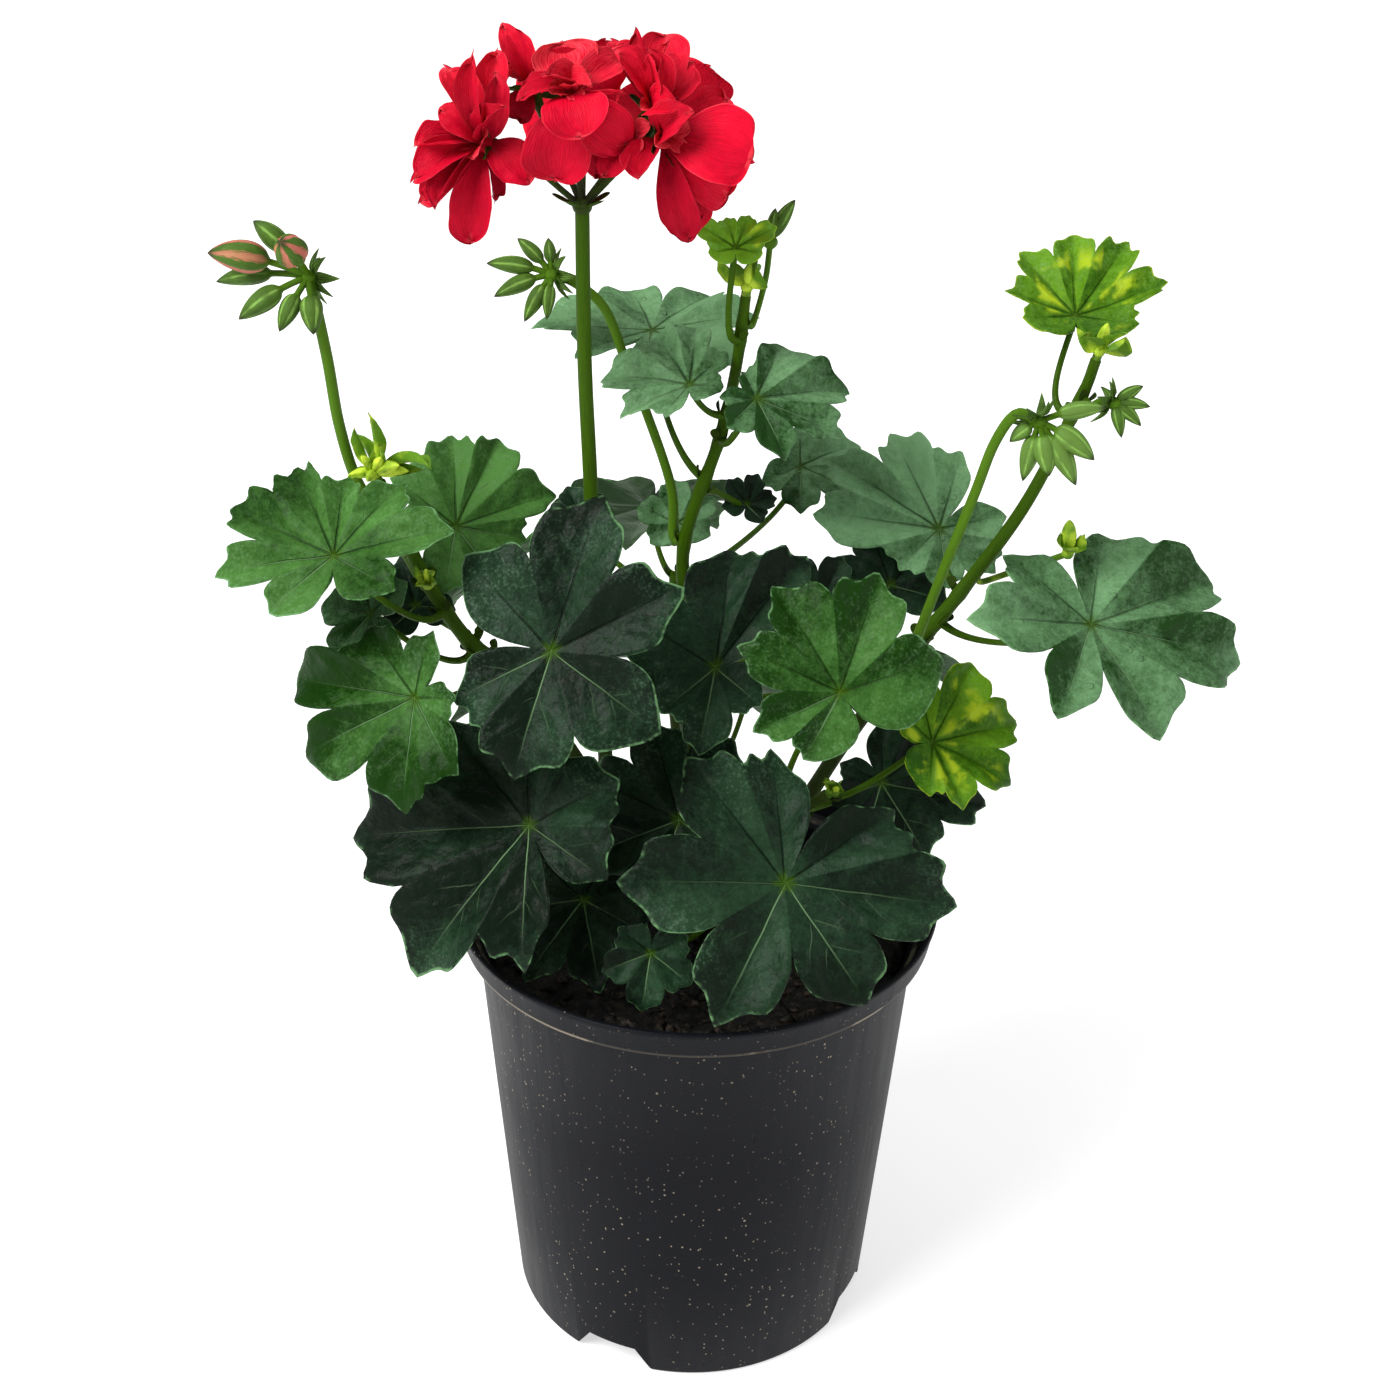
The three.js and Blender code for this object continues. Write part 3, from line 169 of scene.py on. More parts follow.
LEAVES = {
    "front": Leaf([23, -50.6, 172], 8, 52, 330, ("front", 3.7), "dark_leaf", 0.3,
        [[-149, 36, 33], [-116, 42, 25], [-64, 44, 21], [0, 41, 18], [61, 38, 25], [109, 46, 35],
         [150, 36]]),
    "low_left": Leaf([-44, -42, 183], -25, 50, 223, ("left", 2.6), "dark_leaf", 0.28,
        [[-151, 27, 24], [-92, 27, 19], [-22, 26, 22], [14, 40, 36], [64, 53, 37], [112, 51, 31],
         [151, 38]]),
    "mid_left": Leaf([-38, -34, 230], -15, 58, 88, ("left", 4), "dark_leaf", 0.12,
        [[-144, 29, 26], [-96, 34, 23], [-26, 35, 17], [35, 38, 25], [83, 42, 24], [144, 36]]),
    "left": Leaf([-73, -36, 217], -35, 60, 326, ("left", 4.5), "leaf", 0.0,
        [[-138, 18, 12], [-86, 27, 26], [-47, 44, 24], [-16, 39, 20], [46, 30, 23], [86, 24, 13],
         [139, 13]]),
    "upper_left": Leaf([-94, -22, 250], -25, 38, 205, ("left", 5.6), "leaf", 0.38,
        [[-130, 22, 15], [-87, 32, 21], [-44, 27, 17], [-7, 25, 22], [20, 33, 26], [54, 38, 21],
         [85, 35, 16], [124, 22]]),
    "left_back": Leaf([-68, 18, 242], 20, 45, 110, ("left", 5), "leaf", 0.55,
        [[-130, 20, 16], [-85, 22, 16], [-38, 20, 19], [-8, 31, 23], [35, 31, 24], [60, 29, 20],
         [110, 23, 14], [145, 15]]),
    "middle": Leaf([36, -33, 219], 10, 55, 214, ("front", 4.5), "leaf", 0.0,
        [[-110, 29, 20], [-58, 34, 25], [-8, 33, 22], [27, 29, 15], [76, 25, 18], [112, 20]]),
    "middle_back": Leaf([4, -14, 216], 0, 50, 290, ("centre", 3.3), "dark_leaf", 0.4,
        [[-146, 42, 33], [-117, 34, 19], [-52, 28, 20], [21, 19, 17], [60, 24, 13], [120, 16]]),
    "right_young": Leaf([62, -22, 199], 25, 50, 85, ("front", 5), "young_leaf", 0.4,
        [[-105, 15, 14], [-73, 20, 15], [-30, 27, 19], [5, 29, 21], [50, 27, 14], [92, 18, 11],
         [130, 12]]),
    "right": Leaf([105, -2, 225], 30, 42, 358, ("right", 4.6), "grey_leaf", 0.38,
        [[-147, 30, 25], [-104, 37, 17], [-42, 31, 12], [15, 36, 27], [67, 49, 32], [96, 46, 33],
         [148, 31]]),
    "right_back": Leaf([66, 27, 240], -10, 52, 325, ("right", 5), "grey_leaf", 0.85,
        [[-155, 24, 23], [-114, 33, 24], [-84, 40, 28], [-58, 36, 17], [-3, 16, 13], [50, 17, 14],
         [92, 20, 17], [142, 19]]),
    "top_right": Leaf([13, 1, 286], 30, 40, 35, ("centre", 6), "grey_leaf", 0.45,
        [[-140, 10], [-95, 13], [-30, 18, 11], [18, 25, 19], [51, 29, 22], [101, 22, 12],
         [145, 9]], cut=0.6),
    "top_left": Leaf([-4, 5, 288], -30, 28, 205, ("centre", 6.3), "grey_leaf", 0.5,
        [[-100, 9], [-44, 14, 12], [-2, 23, 19], [26, 26, 22], [66, 29, 15], [112, 20],
         [150, 12]], cut=0.6),
    "top_back": Leaf([-15, 42, 291], 0, 15, 150, ("centre", 5.6), "grey_leaf", 0.75,
        [[-153, 20, 17], [-95, 27, 21], [-44, 31, 23], [-7, 28, 13], [45, 26, 19], [120, 33, 22],
         [152, 24]]),
    "top_young": Leaf([98, 29, 301], 0, 25, 178, ("right", 6.8), "young_leaf", 0.22,
        [[-105, 17], [-70, 26, 17], [-32, 29, 20], [-1, 28, 19], [33, 26, 16], [70, 20],
         [105, 15]], cut=0.6, cup=0.25),
    "crown": Leaf([7, 9, 323], 0, 65, 180, ("centre", 7.4), "young_leaf", 0.5,
        [[-100, 7], [-60, 12], [-22, 9], [18, 8], [58, 12], [100, 7]], cut=0.75),
    "front_shade": Leaf([-5, -33, 180], -5, 48, 200, ("front", 3.2), "dark_leaf", 0.2,
        [[-145, 22], [-95, 25], [-48, 27], [0, 28], [48, 30], [95, 28], [145, 22]], cut=0.65),
    "right_low": Leaf([51, -6, 177], 20, 50, 20, ("front", 4.5), "dark_leaf", 0.2,
        [[-145, 13], [-98, 16], [-50, 20], [0, 25], [50, 33], [98, 26], [145, 18]], cut=0.65),
    "back_right": Leaf([28, 58, 246], 0, 32, 60, ("centre", 4.5), "grey_leaf", 0.6,
        [[-120, 13], [-60, 17], [0, 19], [60, 21], [120, 15]], cut=0.62),
    "centre_back": Leaf([-7, 33, 238], -5, 48, 190, ("centre", 4.1), "grey_leaf", 0.5,
        [[-120, 10], [-60, 13], [0, 14], [60, 13], [120, 10]], cut=0.62),
    "centre_shade": Leaf([12, 28, 246], 5, 52, 158, ("centre", 5.5), "dark_leaf", 0.4,
        [[-115, 7], [-55, 9], [0, 10], [55, 9], [115, 7]], cut=0.65),
    "right_shade": Leaf([54, 33, 220], 0, 52, 200, ("right", 3.6), "dark_leaf", 0.4,
        [[-125, 17], [-62, 20], [0, 21], [62, 20], [125, 17]], cut=0.62),
    "middle_shade": Leaf([32, 12, 222], 0, 52, 180, ("centre", 3.6), "dark_leaf", 0.3,
        [[-125, 12], [-75, 15], [-25, 17], [25, 16], [75, 15], [125, 12]], cut=0.62),
    "left_grey": Leaf([-89, -3, 225], -20, 50, 270, ("left", 4.9), "grey_leaf", 0.45,
        [[-125, 13], [-62, 16], [0, 16], [62, 16], [125, 12]], cut=0.62),
    "left_shade": Leaf([-79, 11, 221], 0, 55, 200, ("left", 4.5), "dark_leaf", 0.4,
        [[-115, 11], [-58, 14], [0, 15], [58, 14], [115, 11]], cut=0.62),
    "low_front": Leaf([-31, -30, 152], -10, 38, 20, ("front", 2.6), "dark_leaf", 0.15,
        [[-145, 17], [-95, 22], [-48, 27], [0, 27], [48, 22], [95, 18], [145, 15]], cut=0.62),
    "low_small": Leaf([-12, -50, 149], 5, 62, 350, ("front", 2.3), "dark_leaf", 0.4,
        [[-120, 11], [-60, 14], [0, 16], [60, 14], [120, 11]], cut=0.65),
    "stalk_shade": Leaf([-34, 20, 244], 0, 45, 200, ("centre", 4.3), "dark_leaf", 0.4,
        [[-115, 8], [-58, 10], [0, 11], [58, 10], [115, 8]], cut=0.65),
    "back_low_left": Leaf([-42, 52, 182], 212, 48, 10, ("back", 3), "dark_leaf", 0.35,
        [[-148, 28], [-98, 35], [-50, 39], [0, 41], [52, 40], [100, 34], [148, 27]], cut=0.5),
    "back_low": Leaf([16, 70.4, 172], 170, 48, 350, ("back", 2.6), "dark_leaf", 0.3,
        [[-150, 28], [-104, 36], [-52, 40], [0, 42], [50, 38], [98, 33], [148, 26]], cut=0.5),
    "back_right_low": Leaf([54, 48, 194], 138, 44, 15, ("back", 3.5), "leaf", 0.4,
        [[-146, 26], [-96, 34], [-48, 38], [2, 38], [52, 37], [100, 32], [148, 26]], cut=0.48),
    "back_middle": Leaf([-16, 66, 230], 192, 42, 5, ("back", 5), "leaf", 0.5,
        [[-150, 25], [-100, 32], [-50, 35], [0, 36], [50, 36], [102, 32], [150, 25]], cut=0.55),
    "back_left": Leaf([-62, 40, 218], 238, 42, 350, ("back", 4.2), "leaf", 0.45,
        [[-148, 22], [-96, 29], [-48, 33], [0, 33], [50, 32], [98, 29], [146, 23]], cut=0.5),
}

# The flower stalk: the stem and place, and its points
FLOWER_STALK = (("left", 3), [[-27, 8, 182], [-29, 6, 220], [-30, 5, 261], [-31, 2, 296], UMBEL])

# The whorls of petals that a floret has where they aren't given one by one: how many, the turn of
# the first, their opening angles, length, width and cup
WHORLS = ((5, 0, [42, 98], 21, 16, 0.18), (3, 36, [16, 58], 15, 12, 0.3),
          (3, 95, [8, 40], 11, 7, 0.45))
FINE_PETAL = {"rows": 26, "columns": 32, "crinkle": 0.35}

# Florets: where each stands and the way it opens, then its petals one by one: tip, width, spin
# about its own length, bow and cup. The two behind have whorls instead, of which the turn and the
# size are given.
HEAD_FACING = np.array([0, -0.89, 0.46])
FLORETS = {
    "left": ([-51, -2.5, 350], [-0.85, -0.4, 0.2], [
        [[-69, -10, 352], 7, 25, 0.08, 0.35], [[-70, -13, 345], 9, 15, 0.1, 0.25],
        [[-70, -6, 337], 7, -10, 0.1, 0.2], [[-65, -15, 340], 6, 30, 0.12, 0.4],
        [[-58, -10, 329], 10.5, 5, 0.1, 0.3], [[-51, -5, 337], 4, -30, 0.05, 0.5],
        [[-43, -11, 344], 11.5, -15, 0.12, 0.2], [[-63, -7, 359], 9, 10, 0.15, 0.25],
        [[-62, -3, 368], 8.5, 15, 0.1, 0.3], [[-56, -9, 371], 6.5, -25, 0.12, 0.4],
        [[-51, 0, 371], 8, 0, 0.05, 0.3], [[-50, -10, 366], 6.5, 30, 0.12, 0.5],
        [[-47, 4, 370], 6.5, -35, 0.05, 0.4], [[-50, -14, 361], 5, -40, 0.15, 0.6],
        [[-69, -8, 348], 4.5, -20, 0.06, -0.3]]),
    "upper_left": ([-42, 5.7, 359], [-0.35, 0.1, 0.9], [
        [[-49, 4, 376], 7.5, 10, 0.1, 0.3], [[-47, 4, 355], 8, 0, 0.15, 0.2],
        [[-31, 13, 367], 9, 0, 0.1, 0.25], [[-32, -2, 371], 8, 10, 0.1, 0.3]]),
    "middle": ([-33, -5, 360.3], [0.05, -0.6, 0.8], [
        [[-35, -1, 374], 16, 0, -0.05, 0.15], [[-44, -13, 364], 7, 35, 0.15, 0.3],
        [[-30, -20, 357], 16, 0, 0.22, 0.12], [[-37, -11, 344], 16.5, 0, 0.12, 0.2],
        [[-20, -12, 352], 13, 10, 0.15, 0.2], [[-21, -3, 371], 9, -15, 0.05, 0.35],
        [[-21, -12, 364], 5, 40, 0.1, 0.3], [[-38, -13, 369], 5.5, 40, 0.2, 0.6],
        [[-29, -13, 367], 6, -40, 0.2, 0.6]]),
    "upper_right": ([-14, -2, 355], [0.3, -0.3, 0.9], [
        [[-21, -9, 373], 8, 30, 0.08, 0.4], [[-18, -4, 375.8], 5.5, -20, 0.05, 0.5],
        [[-11, 3, 375.5], 13, 0, 0.05, 0.2], [[-5, -1, 370], 12, -10, 0.1, 0.2],
        [[-14, -10, 374], 5.5, 45, 0.1, 0.7], [[-14, 20, 359], 8, 0, 0.1, 0.2],
        [[-8, -14, 362], 8, 0, 0.25, 0.3], [[-23, 4, 374], 8, 15, 0.05, 0.3],
        [[-12, -8, 374], 5, -40, 0.08, 0.6]]),
    "right": ([-13.4, -5, 352], [0.7, -0.6, 0.3], [
        [[10, -13, 350], 19.5, -5, 0.14, 0.15], [[4, -2, 362], 9, 0, 0.1, 0.2],
        [[5, -7, 340], 13, 5, 0.1, 0.2], [[-5, -9, 330], 9.5, 10, 0.12, 0.35],
        [[-1, -6, 332], 5.5, -35, 0.08, 0.5], [[-6, -16, 361], 9, -15, 0.2, 0.4],
        [[-17, -14, 346], 8.5, 25, 0.15, 0.4]]),
    "low_right": ([-19, -2, 352], [0, -0.9, 0.3], [
        [[-25, -12, 346], 9.5, 10, 0.12, 0.3], [[-28, -6, 344], 6, 0, 0.1, 0.3],
        [[-31, -9, 357], 8, 0, 0.1, 0.2]]),
    "back": ([-31, 13, 350], [0.05, 0.9, 0.4], [15, 0.98]),
    "back_right": ([-14, 12, 350], [0.6, 0.75, 0.25], [40, 0.95]),
}

# Bud heads: the stem and place, the stalk's points and radius, and each bud's tip and radius
BUD_HEADS = {
    "left": (("left", 6), [[-84, 7, 246], [-92, 8, 258], [-96, 8, 274], [-98, 8, 293],
                           [-101, 8, 314]], 1.5,
             [[[-125, 3, 321], 4.2], [[-114, 8, 328], 2.9], [[-105, -4, 326], 4.3],
              [[-125, 9, 312], 2.6], [[-118, 0, 305], 3], [[-108, 0, 302], 2.6],
              [[-99, -2, 302], 3]]),
    "middle": (("centre", 5), [[-9, 21, 254], [-16, 27, 273], [-21, 28, 285], [-27, 28, 301],
                               [-35, 28, 308], [-41, 28, 310]], 1.3,
               [[[-58, 27, 313], 2.4], [[-56, 24, 305], 2.4], [[-48, 22, 299], 2.3],
                [[-42, 21, 300], 1.8], [[-50, 30, 319], 2], [[-42, 31, 319], 1.7]]),
    "right": (("right", 4.3), [[59, 1, 219], [65, -1, 242], [71, -1, 262], [75, -1, 276],
                               [80, -1, 284], [86, -1, 282]], 1.4,
              [[[102, -4, 287], 1.9], [[100, -7, 274], 2.5], [[89, -6, 269], 2.6],
               [[96, -7, 267], 2.4], [[83, -2, 266], 2.1], [[79, 0, 276], 1.7]]),
    "small": (("right", 7), [[105, 16, 282], [108, 14, 282]], 1,
              [[[115, 14, 287], 1.4], [[117, 12, 282], 1.4], [[115, 11, 277], 1.5],
               [[110, 10, 274], 1.5]]),
    "crown": (("centre", 7.6), [[15, 19, 312], [16, 19, 322]], 0.8,
              [[[22, 19, 333], 2], [[17, 18, 331], 1.6]]),
}

# Shoots: the stem and place, the points of a stalk if it has one, each leaflet's direction, length
# and width, and the directions and lengths of young buds
SHOOTS = {
    "left": (("left", 8), None,
             [[[-0.55, 0, 0.83], 13, 3.4], [[0.22, 0, 0.97], 20, 4], [[0.8, -0.1, 0.62], 22, 6],
              [[-0.7, -0.6, 0.3], 8, 3.4], [[0.9, -0.3, 0.3], 13, 3.6], [[0, 0.6, 0.8], 12, 4],
              [[0.1, -0.6, 0.75], 9, 3.6], [[0.55, -0.3, 0.8], 12, 3.6]],
             [[[-0.35, -0.5, 0.8], 8], [[0.3, -0.6, 0.7], 9], [[0.7, -0.6, 0.45], 11],
              [[-0.75, -0.5, 0.1], 8], [[-0.1, -0.9, 0.1], 8], [[0.95, -0.3, 0.2], 10]]),
    "centre": (("centre", 8), None,
               [[[-0.85, 0.1, 0.5], 10, 4], [[0.6, -0.4, 0.7], 9, 6.5], [[-0.5, 0.1, 0.85], 8, 3.6],
                [[0.2, 0.4, 0.9], 9, 4]],
               [[[0.1, -0.3, 0.95], 7]]),
    "right": (("right", 8), None,
              [[[0.7, -0.6, 0.4], 9, 7.5], [[-0.7, -0.5, 0.6], 9, 4.4], [[-0.1, -0.6, 0.8], 12, 4],
               [[0.35, -0.5, 0.8], 11, 3.4]],
              [[[0.1, -0.3, 0.95], 9]]),
    "left_low": (("left", 6.2), [[-73, -5, 235]],
                 [[[-0.5, -0.4, 0.7], 7, 3.6], [[0.5, -0.4, 0.7], 7, 3.6],
                  [[0, -0.7, 0.5], 6, 3.6]],
                 [[[0, -0.4, 0.9], 6]]),
    "front": (("front", 5), None,
              [[[-0.5, -0.4, 0.6], 6, 3.2], [[0.5, -0.4, 0.6], 6, 3.2], [[0, -0.3, 0.9], 7, 3]],
              [[[0.2, -0.8, 0.6], 5]]),
    "right_low": (("right", 5.2), [[85, 16, 232], [93, 14, 236], [99, 9, 241]],
                  [[[-0.5, -0.4, 0.7], 8, 3.6], [[0.6, -0.2, 0.7], 9, 4], [[0.1, -0.6, 0.8], 8, 4]],
                  [[[-0.1, -0.3, 0.95], 12]]),
}


# Curves


def square_to(vector, axis):
    """The part of a vector square to a unit axis, scaled to length one."""
    return unit(vector - np.dot(vector, axis) * axis)


def frames_along(path):
    """Unit directions along a path, and two across it that start from the world axis least in line
    with it."""
    along = unit(np.gradient(path, axis=0))
    axis = np.eye(3)[np.argmin(np.abs(along).max(axis=0))]
    across = unit(np.cross(axis, along))[:, None]
    return along, across, np.cross(along[:, None], across)


def circles(radius, turn, height):
    """Points at angles round the vertical axis, at a radius and a height."""
    return np.stack([radius * np.cos(turn), radius * np.sin(turn), height + 0 * turn], axis=-1)


def even_path(points, count):
    """A path resampled at even steps of its length."""
    steps = np.linalg.norm(np.diff(points, axis=0), axis=1)
    length = np.concatenate([[0], np.cumsum(steps)])
    wanted = np.linspace(0, length[-1], count)
    return np.stack([np.interp(wanted, length, points[:, k]) for k in range(3)], axis=1)


def bezier(*points, count=16):
    """A Bezier curve: each pass takes the points between neighbours, at the share s of the way."""
    s = np.linspace(0, 1, count)[:, None]
    while len(points) > 1:
        points = [a + (b - a) * s for a, b in zip(points, points[1:])]
    return points[0]


class Route:
    """A Catmull-Rom curve through points. Its parameter counts the points: each stretch is the
    cubic whose slope at a point is half the step from the point before it to the one after it."""

    def __init__(self, points):
        inner = np.asarray(points, float)
        self.knots = np.vstack([2 * inner[0] - inner[1], inner, 2 * inner[-1] - inner[-2]])
        self.last = len(inner) - 1

    def at(self, place):
        """Points and unit directions at one place or an array of them."""
        place = np.atleast_1d(np.asarray(place, float))
        first = np.clip(place.astype(int), 0, self.last - 1)
        w = (place - first)[:, None]
        a, b, c, d = (self.knots[first + k] for k in range(4))
        slope, next_slope = (c - a) / 2, (d - b) / 2
        square = 3 * (c - b) - 2 * slope - next_slope
        cube = 2 * (b - c) + slope + next_slope
        points = b + w * (slope + w * (square + w * cube))
        return points, unit(slope + w * (2 * square + 3 * w * cube))

    def path(self, count):
        return even_path(self.at(np.linspace(0, self.last, 40 * self.last + 1))[0], count)


ROUTES = {name: Route(points) for name, (points, _, _) in STEMS.items()}


def branch_start(source, toward):
    """Where a branch leaves a stem: on its tapered side, square to it and towards a point. Gives
    the stem's middle there, the way out, and how far out the solid's branch starts."""
    name, place = source
    _, foot, tip = STEMS[name]
    middle, along = (value[0] for value in ROUTES[name].at(place))
    outward = square_to(toward - middle, along)
    radius = foot + (tip - foot) * (place / ROUTES[name].last) ** STEM_TAPER
    return middle, outward, 0.97 * radius + GAP


def branch_path(source, points, count):
    """A branch's path from inside the stem, squarely out of it, then on through its points."""
    middle, outward, reach = branch_start(source, np.array(points[0], float))
    start = middle + outward * reach
    path = Route([start, start + outward * 2, *points]).path(count)
    return np.vstack([middle + outward * (0.4 * reach), path])


# Surfaces


class Surface:
    """Gathers closed bodies lofted through rings into one mesh, with UVs and values."""

    def __init__(self, *value_names):
        self.points, self.quads, self.tris, self.quad_uvs, self.tri_uvs = [], [], [], [], []
        self.values = {name: [] for name in value_names}
        self.count = 0

    def loft(self, rings, uv=None, **values):
        """Joins each ring to the next with quads and closes both ends with fans. uv may be two
        arrays, for the left and the right corners of each quad; otherwise it counts round and
        along. Where the faces enclose a negative volume, they are turned round. Values that the
        surface has no name for are left out."""
        rows, columns, _ = rings.shape
        ends = [[rings[0].mean(axis=0)], [rings[-1].mean(axis=0)]]
        points = np.concatenate([rings.reshape(-1, 3), *ends])
        here = np.arange(rows * columns).reshape(rows, columns)
        beside = np.roll(here, -1, axis=1)
        quads = np.stack([here[:-1], beside[:-1], beside[1:], here[1:]], axis=-1).reshape(-1, 4)
        pole = np.full(columns, rows * columns)
        tris = np.concatenate([np.stack([pole, beside[0], here[0]], axis=-1),
                               np.stack([pole + 1, here[-1], beside[-1]], axis=-1)])
        if uv is None:
            around, along = np.meshgrid(np.arange(columns) / columns, np.linspace(0, 1, rows))
            left = np.stack([around, along], axis=-1)
            right = np.stack([around + 1 / columns, along], axis=-1)
            poles = (left[0] + right[0]) / 2, (left[-1] + right[-1]) / 2
        else:
            left, right = uv
            poles = np.zeros((columns, 2)), np.zeros((columns, 2))
        quad_uv = np.stack([left[:-1], right[:-1], right[1:], left[1:]], axis=2).reshape(-1, 4, 2)
        tri_uv = np.concatenate([np.stack([poles[0], right[0], left[0]], axis=1),
                                 np.stack([poles[1], left[-1], right[-1]], axis=1)])
        faces = np.concatenate([quads[:, [0, 1, 2]], quads[:, [0, 2, 3]], tris])
        a, b, c = (points[faces[:, k]] - points[0] for k in range(3))
        if np.einsum("ij,ij->", a, np.cross(b, c)) < 0:
            parts = quads, quad_uv, tris, tri_uv
            quads, quad_uv, tris, tri_uv = (part[:, ::-1] for part in parts)
        self.points.append(points)
        self.quads.append(quads + self.count)
        self.tris.append(tris + self.count)
        self.quad_uvs.append(quad_uv.reshape(-1, 2))
        self.tri_uvs.append(tri_uv.reshape(-1, 2))
        for name, kept in self.values.items():
            value = np.broadcast_to(np.asarray(values.get(name, 0.0), float), (rows, columns))
            kept.append(np.concatenate([value.ravel(), [value[0].mean(), value[-1].mean()]]))
        self.count += len(points)

    def tube(self, path, radius, sides=10, **values):
        """A round tube: circles square to the path, and a smaller one at each end."""
        along, across, second = frames_along(path)
        turn = np.linspace(0, TURN, sides, endpoint=False)[:, None]
        radius = np.broadcast_to(radius, len(path))[:, None, None]
        rings = path[:, None] + radius * (across * np.cos(turn) + second * np.sin(turn))
        start = path[0] - along[0] * radius[0, 0] * 0.3
        end = path[-1] + along[-1] * radius[-1, 0] * 0.3
        first, last = start + (rings[:1] - path[0]) * 0.6, end + (rings[-1:] - path[-1]) * 0.6
        for name, value in values.items():
            if np.ndim(value):
                values[name] = np.concatenate([value[:1], value, value[-1:]])[:, None]
        self.loft(np.concatenate([first, rings, last]), **values)

    def mesh(self, name):
        """The gathered bodies as one smooth mesh in metres."""
        quads, tris = np.concatenate(self.quads), np.concatenate(self.tris)
        corners = np.concatenate([quads.ravel(), tris.ravel()])
        quad_starts = 4 * np.arange(len(quads))
        tri_starts = 4 * len(quads) + 3 * np.arange(len(tris))
        mesh = bpy.data.meshes.new(name)
        mesh.vertices.add(self.count)
        mesh.vertices.foreach_set("co", (np.concatenate(self.points) * MM).ravel())
        mesh.loops.add(len(corners))
        mesh.loops.foreach_set("vertex_index", corners)
        mesh.polygons.add(len(quads) + len(tris))
        mesh.polygons.foreach_set("loop_start", np.concatenate([quad_starts, tri_starts]))
        mesh.update(calc_edges=True)
        uvs = np.concatenate(self.quad_uvs + self.tri_uvs)
        mesh.uv_layers.new(name="UVMap").data.foreach_set("uv", uvs.ravel())
        for value_name, kept in self.values.items():
            layer = mesh.attributes.new(value_name, "FLOAT", "POINT")
            layer.data.foreach_set("value", np.concatenate(kept))
        mesh.shade_smooth()
        mesh.validate()
        return mesh


def add_piece(name, mesh, node, material):
    """Puts a mesh into the scene as the piece that stands for a node of the solid model."""
    piece = bpy.data.objects.new(name, mesh)
    bpy.context.scene.collection.objects.link(piece)
    mesh.materials.append(material)
    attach(piece, "root")
    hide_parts(node)


# Shapes


def leaf_edge(leaf, steps, wiggle):
    """The blade's edge, lobe by lobe, in polar form: t, the angle and the radius at each step, and
    the angle of the lobe's tip.

    Along a lobe t runs from -1 at one cut, by 0 at the tip, to 1 at the next cut. With r = |t|, the
    radius falls from the lobe's length to the cut's by a rounded shoulder,
    0.6 (1 - r^3)^0.6 + 0.4 (1 - r), less the hollows between blunt teeth,
    depth |sin(pi waves t + shift)|^1.7 (1 - r^6). Cuts that a leaf doesn't list are a share of the
    lobes beside them that grows towards the stalk."""
    angle, length = np.array([lobe[:2] for lobe in leaf.lobes], float).T
    middle = (angle[1:] + angle[:-1]) / 2
    share = leaf.cut + (0.92 - leaf.cut) * np.abs(middle / 150) ** 2.2
    cuts = (length[1:] + length[:-1]) / 2 * share
    cuts = np.array([lobe[2] if len(lobe) > 2 else cut for lobe, cut in zip(leaf.lobes, cuts)])
    basal = [BASAL_CUT * leaf.size]
    u = np.linspace(-1, 1, steps + 1)
    t = (u + np.sin(np.pi * u / 2)) / 2
    after = t >= 0
    to_angle = np.where(after, np.append(middle, 180)[:, None], np.insert(middle, 0, -180)[:, None])
    to_radius = np.where(after, np.append(cuts, basal)[:, None], np.append(basal, cuts)[:, None])
    r = np.abs(t)
    swell = 0.6 * (1 - r**3) ** 0.6 + 0.4 * (1 - r)
    radius = to_radius + (length[:, None] - to_radius) * swell
    spread = wiggle.random((3, len(length), 1))
    waves, depth = 1.15 + 0.55 * spread[0], 0.04 + 0.05 * spread[1]
    shift = 0.5 * spread[2] - 0.25
    radius *= 1 - depth * np.abs(np.sin(np.pi * waves * t + shift)) ** 1.7 * (1 - r**6)
    theta = np.radians(angle[:, None] + r * (to_angle - angle[:, None]))
    return np.broadcast_to(t, radius.shape), theta, radius, np.radians(angle)[:, None]


def leaf_height(leaf, phases, share, q, t, theta, aside, along):
    """How high the blade stands over its plane, in millimetres.

    With q the distance from the junction over the leaf's size and crease = 0.45 |t|^1.5 +
    0.55 sin(pi/2 |t|), it is size (cup q^2 - droop q^3 + fold q^1.3 crease + wave q^2 sin(2 angle +
    x)): a bowl, a droop, a fold along each vein and a slow wave. To that come a ripple at the edge,
    a slight curl under at the rim, and puckers between the veins."""
    reach = np.abs(t)
    crease = 0.45 * reach**1.5 + 0.55 * np.sin(np.pi / 2 * reach)
    height = leaf.cup * q**2 - LEAF_DROOP * q**3 + LEAF_FOLD * q**1.3 * crease
    height = height + LEAF_WAVE * q**2 * np.sin(2 * theta + leaf.at[0])
    ripple = sum(size * np.sin(count * theta + phase)
                 for size, count, phase in zip((1, 0.7, 0.4), (7, 13, 23), phases))
    ruffle = bpy.context.scene.geranium_sizes.ruffle
    height = height + ruffle * share**4 * ripple - RIM_CURL * share**14
    between = np.clip(reach * (1 - reach) * 4, 0, 1) * (1 - share**6)
    slant = (along - 1.1 * np.abs(aside)) * TURN / 9
    puckers = np.cos(slant + phases[2])
    puckers = puckers + 0.8 * np.sin(aside * TURN / 11 + along * TURN / 17 + phases[3])
    return height * leaf.size + LEAF_PUCKER * puckers * between * np.clip(q * 2.5 - 0.4, 0, 1)


